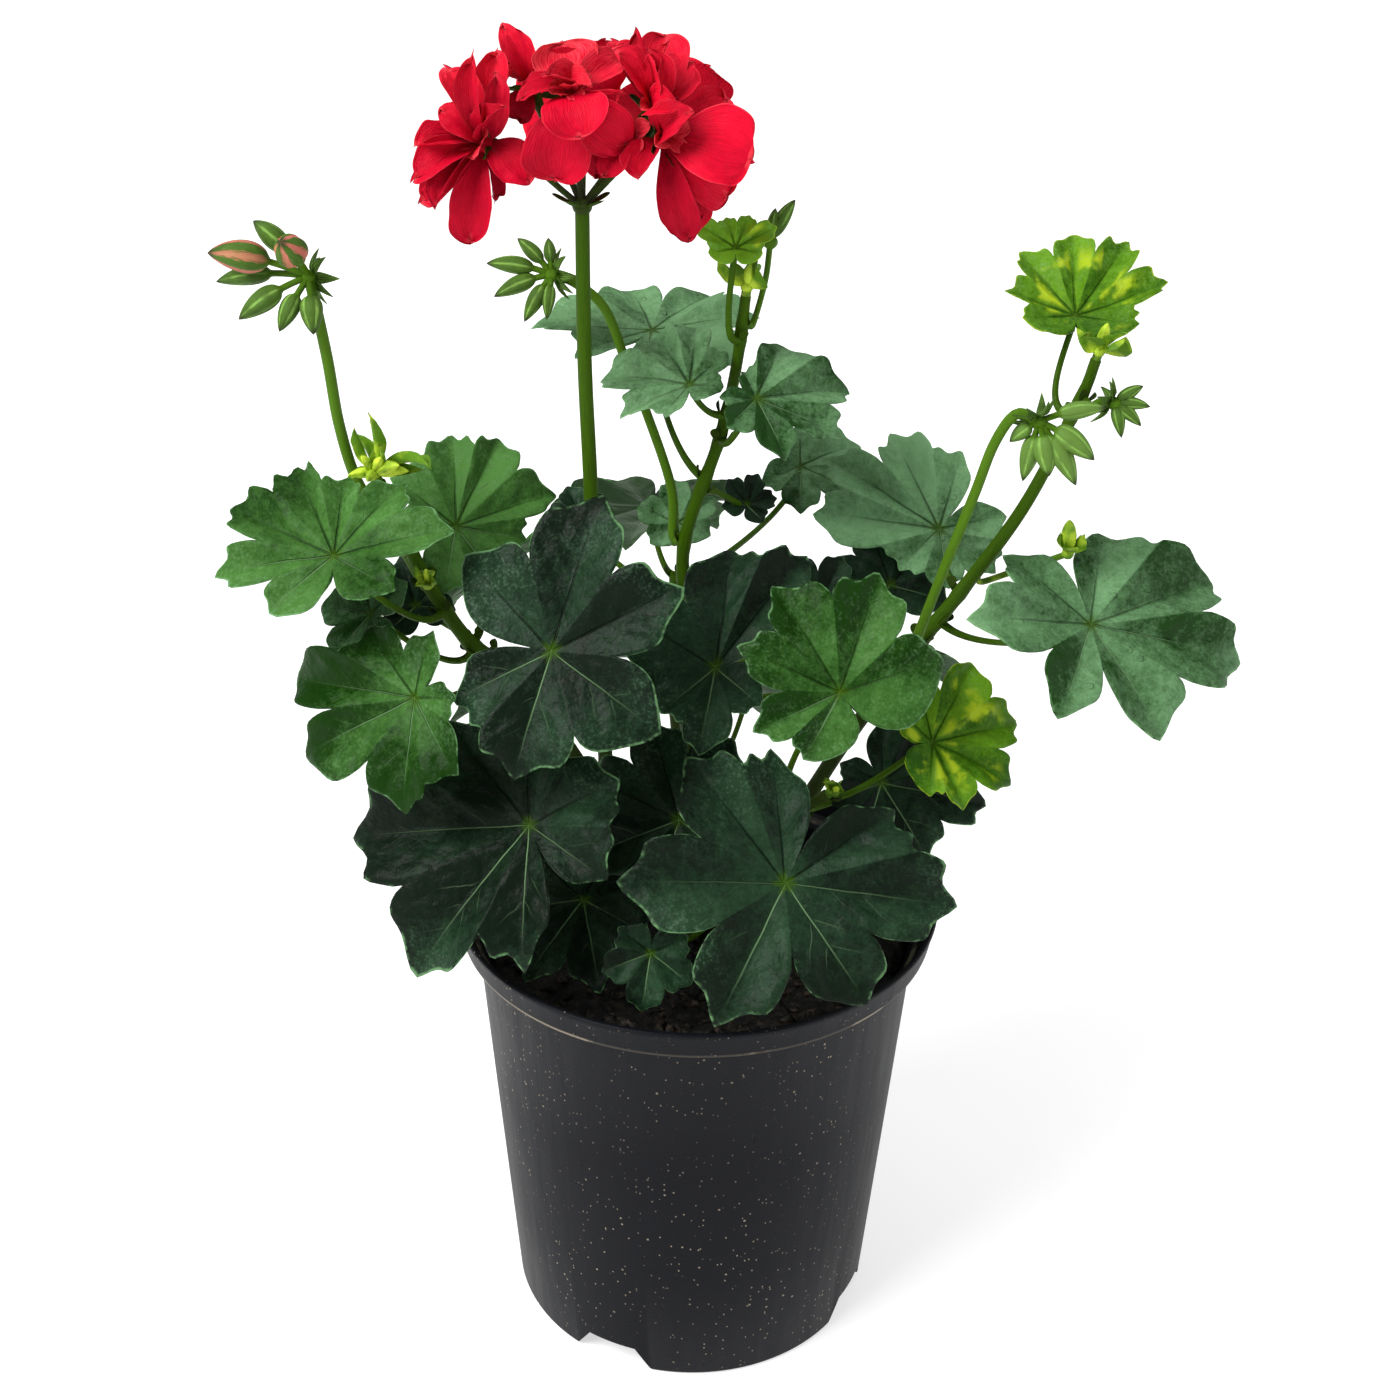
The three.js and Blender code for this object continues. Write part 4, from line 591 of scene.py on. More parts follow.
def leaf_surface(leaf, seed):
    """A thin closed blade, worked out in polar form round the junction, and its stalk.

    Rings run from the junction out over the upper face and back in under the lower one. The UV map
    holds the distance from the lobe's vein and along it, in decimetres. The tone carries painted
    light and shade: the half of a lobe that its fold turns to the light is painted paler, and the
    other half darker. The veins of the lobes that hang are marked pale; those of the other lobes
    take a dark colour that is painted shade in their creases."""
    plant = bpy.context.scene.geranium_sizes
    wiggle = np.random.default_rng(seed)
    t, theta, edge, tip_angle = leaf_edge(leaf, plant.lobe_columns, wiggle)
    phases = wiggle.random(4) * TURN
    rows = plant.leaf_rows
    out = 0.03 + 0.97 * np.linspace(0, 1, rows) ** 0.85
    share = np.concatenate([out, [1.006], out[::-1]])[:, None, None]
    side = np.concatenate([np.ones(rows), [0], -np.ones(rows)])[:, None, None]
    radius = share * edge
    aside, along = radius * np.sin(theta - tip_angle), radius * np.cos(theta - tip_angle)
    q = radius / leaf.size
    height = leaf_height(leaf, phases, share, q, t, theta, aside, along)
    height = height + side * plant.leaf_thickness / MM / 2 * (1 - 0.4 * share**8)

    def flat(value):
        """Values at the blade's points, less the last column of each lobe, as rings."""
        return np.broadcast_to(value, radius.shape)[:, :, :-1].reshape(len(share), -1)

    across = [flat(radius * np.cos(theta)), flat(radius * np.sin(theta)), flat(height)]
    axes = (leaf.ahead, leaf.left, leaf.normal)
    rings = leaf.at + sum(value[..., None] * axis for value, axis in zip(across, axes))
    uv = np.stack([aside, along], axis=-1) / UV_MM
    corners = [uv[:, :, part].reshape(len(share), -1, 2) for part in (np.s_[:-1], np.s_[1:])]
    # How far a lobe hangs: its veins are pale, and on the other lobes they are painted dark as
    # shaded creases
    downward = -np.cos(tip_angle) * leaf.ahead[2] - np.sin(tip_angle) * leaf.left[2]
    # Painted light and shade: each half of a lobe is made paler or darker by how its fold faces
    # LIGHT_FROM, and this goes into the tone
    to_light = np.cos(tip_angle) * np.dot(leaf.left, LIGHT_FROM)
    to_light = to_light - np.sin(tip_angle) * np.dot(leaf.ahead, LIGHT_FROM)
    sunny = leaf.tone - plant.fold_shade * np.tanh(5 * t) * to_light * np.minimum(1, 3 * q)
    surface = Surface("rim", "under", "tone", "stalk", "fold", "pale")
    surface.loft(rings, corners, rim=flat(share), under=flat(side < 0), tone=flat(sunny),
                 fold=flat(np.abs(t)), pale=flat(np.clip(0.3 + downward, 0, 1)))
    middle, outward, reach = branch_start(leaf.source, leaf.at)
    start = middle + outward * reach
    span = np.linalg.norm(leaf.at - start)
    end = leaf.at - leaf.normal * 0.1
    path = bezier(start, start + 0.3 * span * outward, end - 0.32 * span * leaf.normal, end,
                  count=26)
    path = np.vstack([middle + outward * 0.4 * reach, path])
    s = np.linspace(0, 1, len(path))
    stalk = STALK_RADIUS + 0.5 * (1 - s) ** 6 + 0.25 * s**12
    surface.tube(path, stalk, 10, rim=0.5, tone=leaf.tone, stalk=1 - 0.7 * s**10)
    return surface


def blade_rings(s, spine, tangent, face, side, width, cup=0.2, ruffle=0.15, twist=0.0, keel=0.0,
                columns=24, thickness=0.4, crinkle=0.0, fray=0.0, notch=0.0, widest=0.68,
                point=2.6, taper=0.5, phase=0.0):
    """A wedge-shaped blade round its middle line, for petals, leaflets and bracts.

    The half width grows as sin^1.4 from a narrow claw to the widest place and closes as
    (1 - x^point)^taper, unevenly by fray. Across it, v = cos w runs over the upper face and back
    under it. The height over the middle line is half (twist v + cup v^2 + keel |v| +
    ruffle s |v| sin(5 s + 3 v + phase)), with crinkles near the rim. At the tip, fray pulls the rim
    out and in, and notch pulls its middle in."""
    rise = CLAW_SHARE + (1 - CLAW_SHARE) * np.sin(np.pi / 2 * np.clip(s / widest, 0, 1)) ** 1.4
    past = np.clip((s - widest) / (1 - widest), 0, 1)
    close = np.clip(1 - past**point, 0, 1) ** taper
    w = np.linspace(0, TURN, columns, endpoint=False)[None]
    v = np.cos(w)
    half = (width / 2 * rise * close)[:, None]
    s = s[:, None]
    waves = np.sin(11 * s + 1.9 * v + phase) + 0.7 * np.sin(23 * s - 3 * v + 2 * phase)
    half = half * (1 + fray * s**2 * waves)
    bend = ruffle * s * np.abs(v) * np.sin(5 * s + 3 * v + phase)
    height = half * (twist * v + cup * v**2 + keel * np.abs(v) + bend)
    pleats = np.sin(23 * s + 5 * v + phase) + 0.7 * np.sin(37 * s - 9 * v + phase)
    pleats = pleats + 0.8 * np.sin(13 * v + 3 * s)
    height = height + crinkle * s**2 * np.abs(v) ** 1.5 * pleats
    height = height - 0.35 + np.sin(w) * thickness / 2 * np.sqrt(1.02 - s**6)
    length = np.linalg.norm(np.diff(spine, axis=0), axis=1).sum()
    ragged = np.sin(4.2 * v + phase) + 0.6 * np.sin(9 * v + 2 * phase)
    pull = length * s**6 * (1.3 * fray * ragged - notch * np.exp(-((v / 0.2) ** 2)))
    rings = (spine[:, None] + (v * half)[..., None] * side + height[..., None] * face[:, None]
             + pull[..., None] * tangent[:, None])
    rim = np.maximum(np.abs(v) ** 5, s**9)
    claw = (1 - np.clip(s / 0.5, 0, 1)) + 0 * v
    across = np.broadcast_to(v / 2 + 0.5, rim.shape)
    uv = np.stack([across, np.broadcast_to(s, rim.shape)], axis=-1)
    return rings, (uv, np.roll(uv, -1, axis=1)), rim, claw


def leaning_blade(root, axis, turn, opening, length, setback=0.0, rows=20, **shape):
    """A blade that leaves its root at an angle from an axis and bends to a second angle at its tip.
    Turn is its place round the axis."""
    ahead = unit(axis)
    upright = np.linalg.norm(UP - np.dot(UP, ahead) * ahead) < 0.2
    radial = turned(square_to(np.array([0.0, 1.0, 0.0]) if upright else UP, ahead), ahead, turn)
    s = np.sin(np.linspace(0, np.pi / 2, rows)) ** 0.9
    lean = np.radians(opening[0] + (opening[1] - opening[0]) * s)[:, None]
    fine = np.linspace(0, 1, 81)
    between = (fine[1:] + fine[:-1]) / 2
    fine_lean = np.radians(opening[0] + (opening[1] - opening[0]) * between)
    forward = np.append(0, np.cumsum(np.cos(fine_lean))) * length / 80
    outward = np.append(0, np.cumsum(np.sin(fine_lean))) * length / 80
    start = root + setback * (np.cos(lean[0]) * ahead + np.sin(lean[0]) * radial)
    spine = start + np.interp(s, fine, forward)[:, None] * ahead
    spine = spine + np.interp(s, fine, outward)[:, None] * radial
    tangent = np.cos(lean) * ahead + np.sin(lean) * radial
    face = np.sin(lean) * ahead - np.cos(lean) * radial
    return blade_rings(s, spine, tangent, face, np.cross(ahead, radial), phase=turn, **shape)


def placed_blade(root, tip, spin, bow, curl=0.0, rows=26, **shape):
    """A blade from its root to its tip. Its upper side looks the way the flower head does, spun by
    some degrees about the blade's length; bow is the height of its arch and curl how far the tip
    bends back, both as shares of its length."""
    root, chord = np.asarray(root, float), np.subtract(tip, root)
    length = np.linalg.norm(chord)
    ahead = chord / length
    face = turned(square_to(HEAD_FACING, ahead), ahead, spin)
    s = np.sin(np.linspace(0, np.pi / 2, rows)) ** 0.9
    x = s[:, None]
    spine = root + x * chord + length * (4 * bow * x * (1 - x) - curl * x**4) * face
    slope = 4 * bow * (1 - 2 * x) - 4 * curl * x**3
    return blade_rings(s, spine, unit(ahead + slope * face), unit(face - slope * ahead),
                       np.cross(face, ahead), phase=spin, **shape)


def add_petal(surface, inner=0.0, shade=0.0, **shape):
    """A petal, leaflet or bract, given by its tip or by the angles at which it leans out."""
    make = placed_blade if "tip" in shape else leaning_blade
    rings, uv, rim, claw = make(**shape)
    surface.loft(rings, uv, rim=rim, claw=claw, inner=inner, shade=shade)


def add_knob(surface, centre, radius, stretch=1.0, **values):
    """A round knob: rings of a ball from its south pole to its north pole, stretched upwards."""
    polar = np.linspace(0.12, np.pi - 0.12, 9)[:, None]
    turn = np.linspace(0, TURN, 14, endpoint=False)[None]
    radius = radius * (1 + 0.06 * np.sin(5 * turn) * np.sin(polar))
    rings = circles(radius * np.sin(polar), turn, -radius * stretch * np.cos(polar))
    surface.loft(np.asarray(centre) + rings, **values)


def add_bud(surface, root, tip, radius, blush, bare=0.3, light=0.0):
    """A pointed bud on its thin pedicel. Past the bare share of its length, with u from 0 to 1, its
    radius is BUD_SWELL u^0.5 (1 - u)^0.8 of the greatest one: fat below the middle, and closing in
    a point. Rounded ridges run along it."""
    root, tip = np.array(root, float), np.array(tip, float)
    reach = np.linalg.norm(tip - root)
    path = bezier(root, root + 0.45 * (tip - root) + UP * 0.12 * reach, tip, count=40)
    _, across, second = frames_along(path)
    u = np.clip((np.linspace(0, 1, len(path)) - bare) / (1 - bare), 0, 1)
    swell = BUD_SWELL * u**0.5 * (1 - u) ** 0.8
    pedicel = 0.75 * np.clip((0.75 - u) * 5, 0, 1) + 0.08
    profile = np.maximum(radius * swell, pedicel)[:, None]
    turn = np.linspace(0, TURN, 40, endpoint=False)[None]
    scale = np.clip(u * 8, 0, 1)[:, None]
    grooves = 1 - np.abs(np.sin(BUD_RIDGES / 2 * turn)) ** 0.6
    ridged = (profile * (1 - BUD_GROOVE * scale * grooves))[..., None]
    turn = turn[..., None]
    rings = path[:, None] + ridged * (across * np.cos(turn) + second * np.sin(turn))
    surface.loft(rings, blush=blush * scale, yellow=0.7 * scale, stalk=1 - scale,
                 light=light * scale, tip=u[:, None] ** 9 * scale)


def pot_rings(sides):
    """The pot turned from its profile: up the outside, over the rim and down the inside, with small
    rounds."""
    taper, inside = RIM_RADIUS - BAND_TAPER, LEDGE_RADIUS - WALL
    profile = np.array([
        (BASE_RADIUS - 3, 0), (BASE_RADIUS - 1, 0), (BASE_RADIUS - 0.3, 0.3), (BASE_RADIUS, 1),
        *WALL_BULGE, (LEDGE_RADIUS, BAND_FOOT - 1), (LEDGE_RADIUS + 0.3, BAND_FOOT - 0.5),
        (taper - 1, BAND_FOOT), (taper - 0.25, BAND_FOOT + 0.2), (taper, BAND_FOOT + 1),
        (RIM_RADIUS - 0.35, POT_HEIGHT - 2), (RIM_RADIUS, POT_HEIGHT - 1.2),
        (RIM_RADIUS, POT_HEIGHT - 0.5), (RIM_RADIUS - 0.3, POT_HEIGHT - 0.1),
        (RIM_RADIUS - 0.8, POT_HEIGHT), (RIM_RADIUS - 1.3, POT_HEIGHT - 0.1),
        (RIM_RADIUS - WALL, POT_HEIGHT - 0.5), (taper - WALL - 0.6, BAND_FOOT + 2),
        (inside + 0.4, BAND_FOOT - 1), (inside, BAND_FOOT - 2),
        (BASE_RADIUS - WALL, BASE_THICKNESS + 0.5), (BASE_RADIUS - WALL - 1, BASE_THICKNESS),
    ])
    turn = np.linspace(0, TURN, sides, endpoint=False)
    return circles(profile[:, :1], turn, profile[:, 1:])


def slot_rings(azimuth):
    """A drain slot's cutter: its wedge-shaped section, wider at the floor, carried in through the
    wall."""
    width = 2 * BASE_RADIUS * np.sin(np.radians(DRAIN_SPREAD / 2))
    slant = DRAIN_HEIGHT * 0.6
    x = np.array([-width / 2 - 1, width / 2 + 1, width / 2 - slant, slant - width / 2])
    z = np.array([-1, -1, DRAIN_HEIGHT, DRAIN_HEIGHT])
    y = -(BASE_RADIUS + np.array([[-DRAIN_REACH], [DRAIN_REACH]]))
    a = np.radians(azimuth)
    return np.stack([x * np.cos(a) - y * np.sin(a), x * np.sin(a) + y * np.cos(a), z + 0 * y],
                    axis=-1)


def cut_slots(mesh, cutter):
    """The pot's mesh with its four slots cut out of it."""
    scene = bpy.context.scene
    body = bpy.data.objects.new("uncut_pot", mesh)
    tool = bpy.data.objects.new("slot_cutter", cutter)
    for thing in (body, tool):
        scene.collection.objects.link(thing)
    boolean = body.modifiers.new("Slots", "BOOLEAN")
    boolean.object, boolean.operation, boolean.solver = tool, "DIFFERENCE", "EXACT"
    cut = body.evaluated_get(bpy.context.evaluated_depsgraph_get())
    shaped = bpy.data.meshes.new_from_object(cut)
    for thing in (body, tool):
        bpy.data.objects.remove(thing)
    shaped.name = "pot_shell"
    shaped.set_sharp_from_angle(angle=np.radians(32))
    return shaped


def soil_height(x, y):
    """The soil's surface: the solid's slow lumps, and finer ones of 8, 4 and 2 mm on them."""
    slow = np.sin(0.31 * x + 1) * np.cos(0.27 * y) + 0.5 * np.sin(0.55 * x - 0.47 * y + 2)
    fine = 0.5 * np.sin(0.8 * x + 1.3 * np.sin(0.5 * y)) * np.sin(0.74 * y + 2)
    finer = 0.35 * np.sin(1.6 * x + 0.9 * y + 1) * np.cos(1.5 * y - 0.8 * x)
    finer = finer + 0.2 * np.sin(3.1 * x + 2) * np.sin(2.9 * y)
    return SOIL_LEVEL + SOIL_LUMP * slow + fine + finer


def soil_inner(height):
    """The soil's radius at a height, a little less than the pot's inside."""
    share = (height - BASE_THICKNESS) / (BAND_FOOT - BASE_THICKNESS)
    return BASE_RADIUS - WALL + (LEDGE_RADIUS - BASE_RADIUS) * share - 2 * GAP


def soil_surface(seed):
    """A lumpy disc of soil with sides down to the pot's floor, and crumbs and chips lying on it."""
    surface = Surface("bark")
    turn = np.linspace(0, TURN, 200, endpoint=False)
    radius = np.linspace(0.6, soil_inner(SOIL_LEVEL - 3), 64)[:, None]
    x, y = radius * np.cos(turn), radius * np.sin(turn)
    top = soil_height(x, y) - 2.4 * np.clip((radius - 57) / 4, 0, 1) ** 2
    sides = ((soil_inner(70), 70), (soil_inner(10), SOIL_SHOULDER_HEIGHT),
             (SOIL_FOOT_RADIUS, SOIL_FOOT_HEIGHT))
    rings = [circles(radius, turn, height)[None] for radius, height in sides]
    surface.loft(np.concatenate([np.stack([x, y, top], axis=-1), *rings]), bark=0.25)
    scatter = np.random.default_rng(seed)
    count = bpy.context.scene.geranium_sizes.crumbs
    away = CRUMB_REACH * np.sqrt(scatter.random(count))
    bearing = TURN * scatter.random(count)
    size = 0.7 + 1.5 * scatter.random(count) ** 2.5
    polar = np.linspace(0.5, np.pi - 0.5, 3)[:, None]
    ball = circles(np.sin(polar), np.linspace(0, TURN, 7, endpoint=False)[None], np.cos(polar))
    for k in range(count):
        lumps = 1 + 0.5 * (scatter.random(ball.shape[:2])[..., None] - 0.5)
        stretch = CHIP_STRETCH if scatter.random() < CHIP_SHARE else CRUMB_STRETCH
        spin = TURN * scatter.random()
        x, y, z = np.moveaxis(ball * lumps * stretch * size[k], -1, 0)
        cos, sin = np.cos(spin), np.sin(spin)
        placed = np.stack([x * cos - y * sin, x * sin + y * cos,
                           z + 0.4 * (scatter.random() - 0.5) * x], axis=-1)
        x, y = away[k] * np.cos(bearing[k]), away[k] * np.sin(bearing[k])
        placed += [x, y, soil_height(x, y) + 0.1 * size[k]]
        surface.loft(placed, bark=0.4 + 0.6 * scatter.random())
    return surface


# Materials


def arithmetic(operation, swapped=False):
    """A method that adds an operation's math node, with the value first or, if swapped, second."""

    def method(self, other=0.0):
        return self.finish.math(operation, *((other, self) if swapped else (self, other)))

    return method


class Value:
    """A number that a shader works out. Arithmetic with it adds the nodes for the result."""

    def __init__(self, finish, socket):
        self.finish, self.socket = finish, socket

    __add__, __radd__ = arithmetic("ADD"), arithmetic("ADD", swapped=True)
    __sub__, __rsub__ = arithmetic("SUBTRACT"), arithmetic("SUBTRACT", swapped=True)
    __mul__, __truediv__ = arithmetic("MULTIPLY"), arithmetic("DIVIDE")
    __abs__, root, fraction = arithmetic("ABSOLUTE"), arithmetic("SQRT"), arithmetic("FRACT")
    highest = arithmetic("MAXIMUM")

    def clamped(self):
        """The result of a math node kept between 0 and 1."""
        self.socket.node.use_clamp = True
        return self

    def swing(self, reach):
        """The value from 0 to 1 spread over the range from minus reach to reach."""
        return (self - 0.5) * (2 * reach)

    def step(self, low, high):
        """0 at low, 1 at high and a smooth rise between them; low may be the greater one."""
        limits = [("From Min", min(low, high)), ("From Max", max(low, high))]
        ends = [("To Min", float(low > high)), ("To Max", float(low < high))]
        return self.finish.number("ShaderNodeMapRange", "Result", [("Value", self), *limits, *ends],
                                  interpolation_type="SMOOTHSTEP")


class Finish:
    """A material being built. Its methods add shader nodes; those for numbers give a Value."""

    def __init__(self, name, specular):
        self.material = bpy.data.materials.new(name)
        self.material.use_nodes = True
        self.tree = self.material.node_tree
        self.shader = self.tree.nodes["Principled BSDF"]
        self.shader.inputs["Specular IOR Level"].default_value = specular
        self.object = self.node("ShaderNodeTexCoord").outputs["Object"]
        self.uv = self.node("ShaderNodeUVMap").outputs["UV"]

    def feed(self, socket, value):
        value = value.socket if isinstance(value, Value) else value
        if isinstance(value, bpy.types.NodeSocket):
            self.tree.links.new(value, socket)
        elif socket.type == "RGBA":
            socket.default_value = (*value[:3], 1.0)
        else:
            socket.default_value = value

    def node(self, kind, inputs=(), **settings):
        node = self.tree.nodes.new(kind)
        for key, value in settings.items():
            setattr(node, key, value)
        for socket, value in inputs:
            self.feed(node.inputs[socket], value)
        return node

    def number(self, kind, output, inputs=(), **settings):
        return Value(self, self.node(kind, inputs, **settings).outputs[output])

    def math(self, operation, a, b):
        return self.number("ShaderNodeMath", 0, [(0, a), (1, b)], operation=operation)

    def mix(self, share, a, b):
        return self.node("ShaderNodeMix", [(0, share), (6, a), (7, b)], data_type="RGBA").outputs[2]

    def noise(self, scale, detail=3.0, vector=None):
        inputs = [("Vector", vector or self.object), ("Scale", scale), ("Detail", detail)]
        return self.number("ShaderNodeTexNoise", 0, inputs)

    def specks(self, scale, size, share, vector=None):
        """Round specks of about that size, in a share of the cells, which are 1 / scale wide."""
        inputs = [("Vector", vector or self.object), ("Scale", scale)]
        cell = self.node("ShaderNodeTexVoronoi", inputs)
        pick = self.number("ShaderNodeSeparateColor", 0, [(0, cell.outputs["Color"])])
        distance = Value(self, cell.outputs["Distance"])
        return distance.step(size, size * 0.6) * pick.step(share + 0.01, share)

    def stretched(self, vector, scale):
        return self.node("ShaderNodeMapping", [("Vector", vector), ("Scale", scale)]).outputs[0]

    def parts(self, vector):
        split = self.node("ShaderNodeSeparateXYZ", [(0, vector)])
        return [Value(self, output) for output in split.outputs[:3]]

    def value(self, name):
        """The value that a surface carries at its points under this name."""
        return self.number("ShaderNodeAttribute", "Fac", attribute_name=name)

    def colour(self, colour):
        self.feed(self.shader.inputs["Base Color"], colour)

    def roughness(self, low, high, share):
        inputs = [("Value", share), ("To Min", low), ("To Max", high)]
        value = self.number("ShaderNodeMapRange", "Result", inputs)
        self.feed(self.shader.inputs["Roughness"], value)

    def relief(self, height, depth):
        """Bump whose height 0 to 1 stands for 0 to depth millimetres."""
        inputs = [("Height", height), ("Distance", depth * MM), ("Strength", 1.0)]
        self.feed(self.shader.inputs["Normal"], self.node("ShaderNodeBump", inputs).outputs[0])


def scaled(colour, factor, lift=0.0):
    """A colour made darker or lighter."""
    return [min(1, factor * part + lift) for part in colour]


def leaf_finish(name, deep, bright, vein, rim, vein_share, gloss, patches=0.0, drops=0.0):
    """A leaf's skin, with distances from a vein (aside) and along it in millimetres.

    It is a blotchy green over a pebbled relief, with pale specks on it that are painted glints,
    most towards the rim; its tone also carries the painted light and shade of the folds. Thin
    sunken veins run out from the junction, with faint side veins at a slant to them: pale on the
    lobes that hang, and on the others painted dark as shade in their creases. There are a small
    light star at the junction, a thin pale rim that is a painted highlight along the edge (yellow
    variegation on young leaves), a duller underside, and yellow patches or drops of water if
    wanted."""
    look = bpy.context.scene.geranium_colours
    f = Finish(name, specular=gloss)
    wobble = f.noise(110, 2).swing(1.6)
    aside, along, _ = f.parts(f.uv)
    aside = abs(aside * UV_MM + wobble * 0.18)
    along = along * UV_MM + wobble
    to_rim, fold, stalk = f.value("rim"), f.value("fold"), f.value("stalk")
    main = aside.step(0.36, 0.08) * to_rim.step(0.95, 0.15)
    slant = ((along - aside * 1.25) / SIDE_VEIN_SPACING).fraction()
    side = abs(slant - 0.5).step(0.05, 0.008)
    side = side * aside.step(0.2, 1.6) * to_rim.step(0.9, 0.5) * fold.step(0.75, 0.4)
    side = side * along.step(7.0, 12.0) * f.noise(60, 1).step(0.4, 0.6)
    veins = main.highest(side * 0.28) * (1.0 - stalk).clamped()
    mottle, grain, pebbles = f.noise(26, 4), f.noise(1250, 2), f.noise(420, 3)
    # The tone holds the leaf's own tone and the painted light and shade of its folds
    tone = f.value("tone") + mottle.swing(1.3)
    tone = (tone + pebbles.swing(0.35) + grain.swing(0.3)).clamped()
    colour = f.mix(tone, deep, bright)
    if patches:
        patch = f.noise(110, 4).step(0.5, 0.62) * patches
        patch = patch * aside.step(0.4, 2.0) * to_rim.step(0.95, 0.7)
        colour = f.mix(patch, colour, look.variegation)
    # Painted glints: pale specks on the pebbled skin that stand for highlights, spread most towards
    # the rim
    glint_spread = (to_rim * 0.5 + mottle.swing(0.9)).step(0.3, 0.8)
    painted_glint = (grain + pebbles.swing(0.2)).step(0.5, 0.75) * glint_spread * 0.3
    colour = f.mix(painted_glint, colour, look.painted_glint)
    # Painted shade: veins on the lobes that hang take the pale vein colour, the others half the
    # deep colour, as shade in their creases
    crease = f.mix(f.value("pale"), scaled(deep, 0.5), vein)
    colour = f.mix(veins * vein_share, colour, crease)
    star = along.step(4.2, 0.5) * aside.step(1.1, 0.2) * to_rim.step(0.22, 0.05)
    colour = f.mix(star * 0.8, colour, look.stem)
    # Painted highlight: a thin pale rim along the edge, in stretches; young leaves take yellow
    # variegation here
    edge = to_rim.step(0.978, 0.996) * (pebbles + mottle).step(0.85, 1.15)
    colour = f.mix(edge * 0.6, colour, rim)
    colour = f.mix(f.value("under") * 0.5, colour, look.leaf_under)
    f.colour(f.mix(stalk, colour, look.stem))
    f.roughness(0.34, 0.6, pebbles)
    relief = f.noise(95, 3) * 1.8 + (pebbles * 0.35 + grain * 0.13) - veins * 0.4
    if drops:
        relief = relief + f.specks(330, 0.36, 0.12) * (0.4 * drops)
    f.relief(relief, 1.0)
    return f.material


def stem_finish(name, colour, woody):
    """Stem skin: fresh green above and woody near the soil, with fine streaks along it."""
    f = Finish(name, specular=0.07)
    height = f.parts(f.object)[2]
    streaks = f.noise(5, 3, f.stretched(f.uv, (9.0, 4.0, 1.0)))
    blotches = f.noise(110)
    aged = (height.step(FRESH_ABOVE, WOODY_BELOW) + blotches.swing(0.25)).clamped()
    green = f.mix(streaks, scaled(colour, 0.6), scaled(colour, 1.35))
    shaded = f.mix(f.value("shade") * blotches.step(0.3, 0.6), green, woody)
    f.colour(f.mix(aged * 0.85, shaded, woody))
    f.roughness(0.38, 0.6, streaks)
    f.relief(streaks + f.noise(700) * 0.4, 0.3)
    return f.material


def petal_finish(name, deep, bright, pale):
    """Petal skin: red with fine veins along it. It is darker towards the claw, as painted shade in
    the throat, and where its shade value marks painted shade. It is paler at a thin rim, on the
    small throat petals and, as painted light, on the petals that stand up in a floret."""
    f = Finish(name, specular=0.07)
    veins = f.noise(5, 2, f.stretched(f.uv, (9.0, 0.8, 1.0)))
    mottle, rim = f.noise(70), f.value("rim")
    tone = veins * 0.8 + mottle * 0.75 - 0.3
    # Painted shade: darker towards the claw
    tone = (tone + f.value("claw") * -0.6).clamped()
    colour = f.mix(tone, deep, bright)
    # The inner value makes the small throat petals paler and, as painted light, the petals that
    # stand up
    colour = f.mix(f.value("inner") * (veins + rim * 0.3).step(0.35, 0.75), colour, pale)
    colour = f.mix(rim.step(0.8, 0.97) * (0.15 + veins * 0.6), colour, pale)
    f.colour(f.mix(f.value("shade"), colour, deep))
    f.roughness(0.4, 0.6, mottle)
    f.relief(f.noise(120, 2) * 1.1 + veins * 0.3 + f.noise(800, 2) * 0.1, 1.0)
    return f.material


def bud_finish(name, green, stripe, blush, stalk):
    """Bud skin: green scales with pale stripes on them and a dark tip, lighter all over on some
    heads. On a bud about to open, petals of the blush colour show in bands, most at one side."""
    f = Finish(name, specular=0.14)
    around = f.parts(f.uv)[0]
    across = abs((around * BUD_RIDGES).fraction() - 0.5)
    on_stalk = f.value("stalk")
    skin = (1.0 - on_stalk).clamped()
    blotches, fibres = f.noise(180), f.noise(6, 2, f.stretched(f.uv, (16.0, 1.5, 1.0)))
    tone = (blotches + fibres.swing(0.45)).clamped()
    colour = f.mix(f.value("light"), f.mix(tone, scaled(green, 0.45), scaled(green, 1.5)), stripe)
    stripes = (across + fibres.swing(0.12)).step(0.3, 0.5) * blotches.step(0.25, 0.6)
    colour = f.mix(stripes * skin * 0.7, colour, scaled(stripe, 1.3))
    colour = f.mix(on_stalk * 0.85, colour, stalk)
    facing = abs(around - 0.35).step(0.42, 0.25)
    bands = (across + fibres.swing(0.3)).step(0.24, 0.36)
    colour = f.mix(bands * f.value("blush") * (0.75 + facing).clamped(), colour, blush)
    brown = [0.5 * green[0], 0.3 * green[1], green[2]]
    f.colour(f.mix(f.value("tip").step(0.15, 0.7) * 0.8, colour, brown))
    f.roughness(0.4, 0.6, blotches)
    f.relief(fibres * 0.7 + f.noise(900, 2) * 0.3, 0.3)
    return f.material


def shoot_finish(name, green, yellow):
    """Young leaflets: fresh green, yellow in blotches and towards their roots, and yellow buds."""
    f = Finish(name, specular=0.14)
    blotches = f.noise(190, 2)
    share = (f.value("claw") * 0.9 + f.value("yellow") + blotches.swing(1.3)).clamped()
    colour = f.mix(f.noise(60), scaled(green, 0.5), green)
    f.colour(f.mix(share, f.mix(f.value("shade"), colour, scaled(green, 0.45)), yellow))
    f.roughness(0.4, 0.6, blotches)
    f.relief(f.noise(600), 0.25)
    return f.material


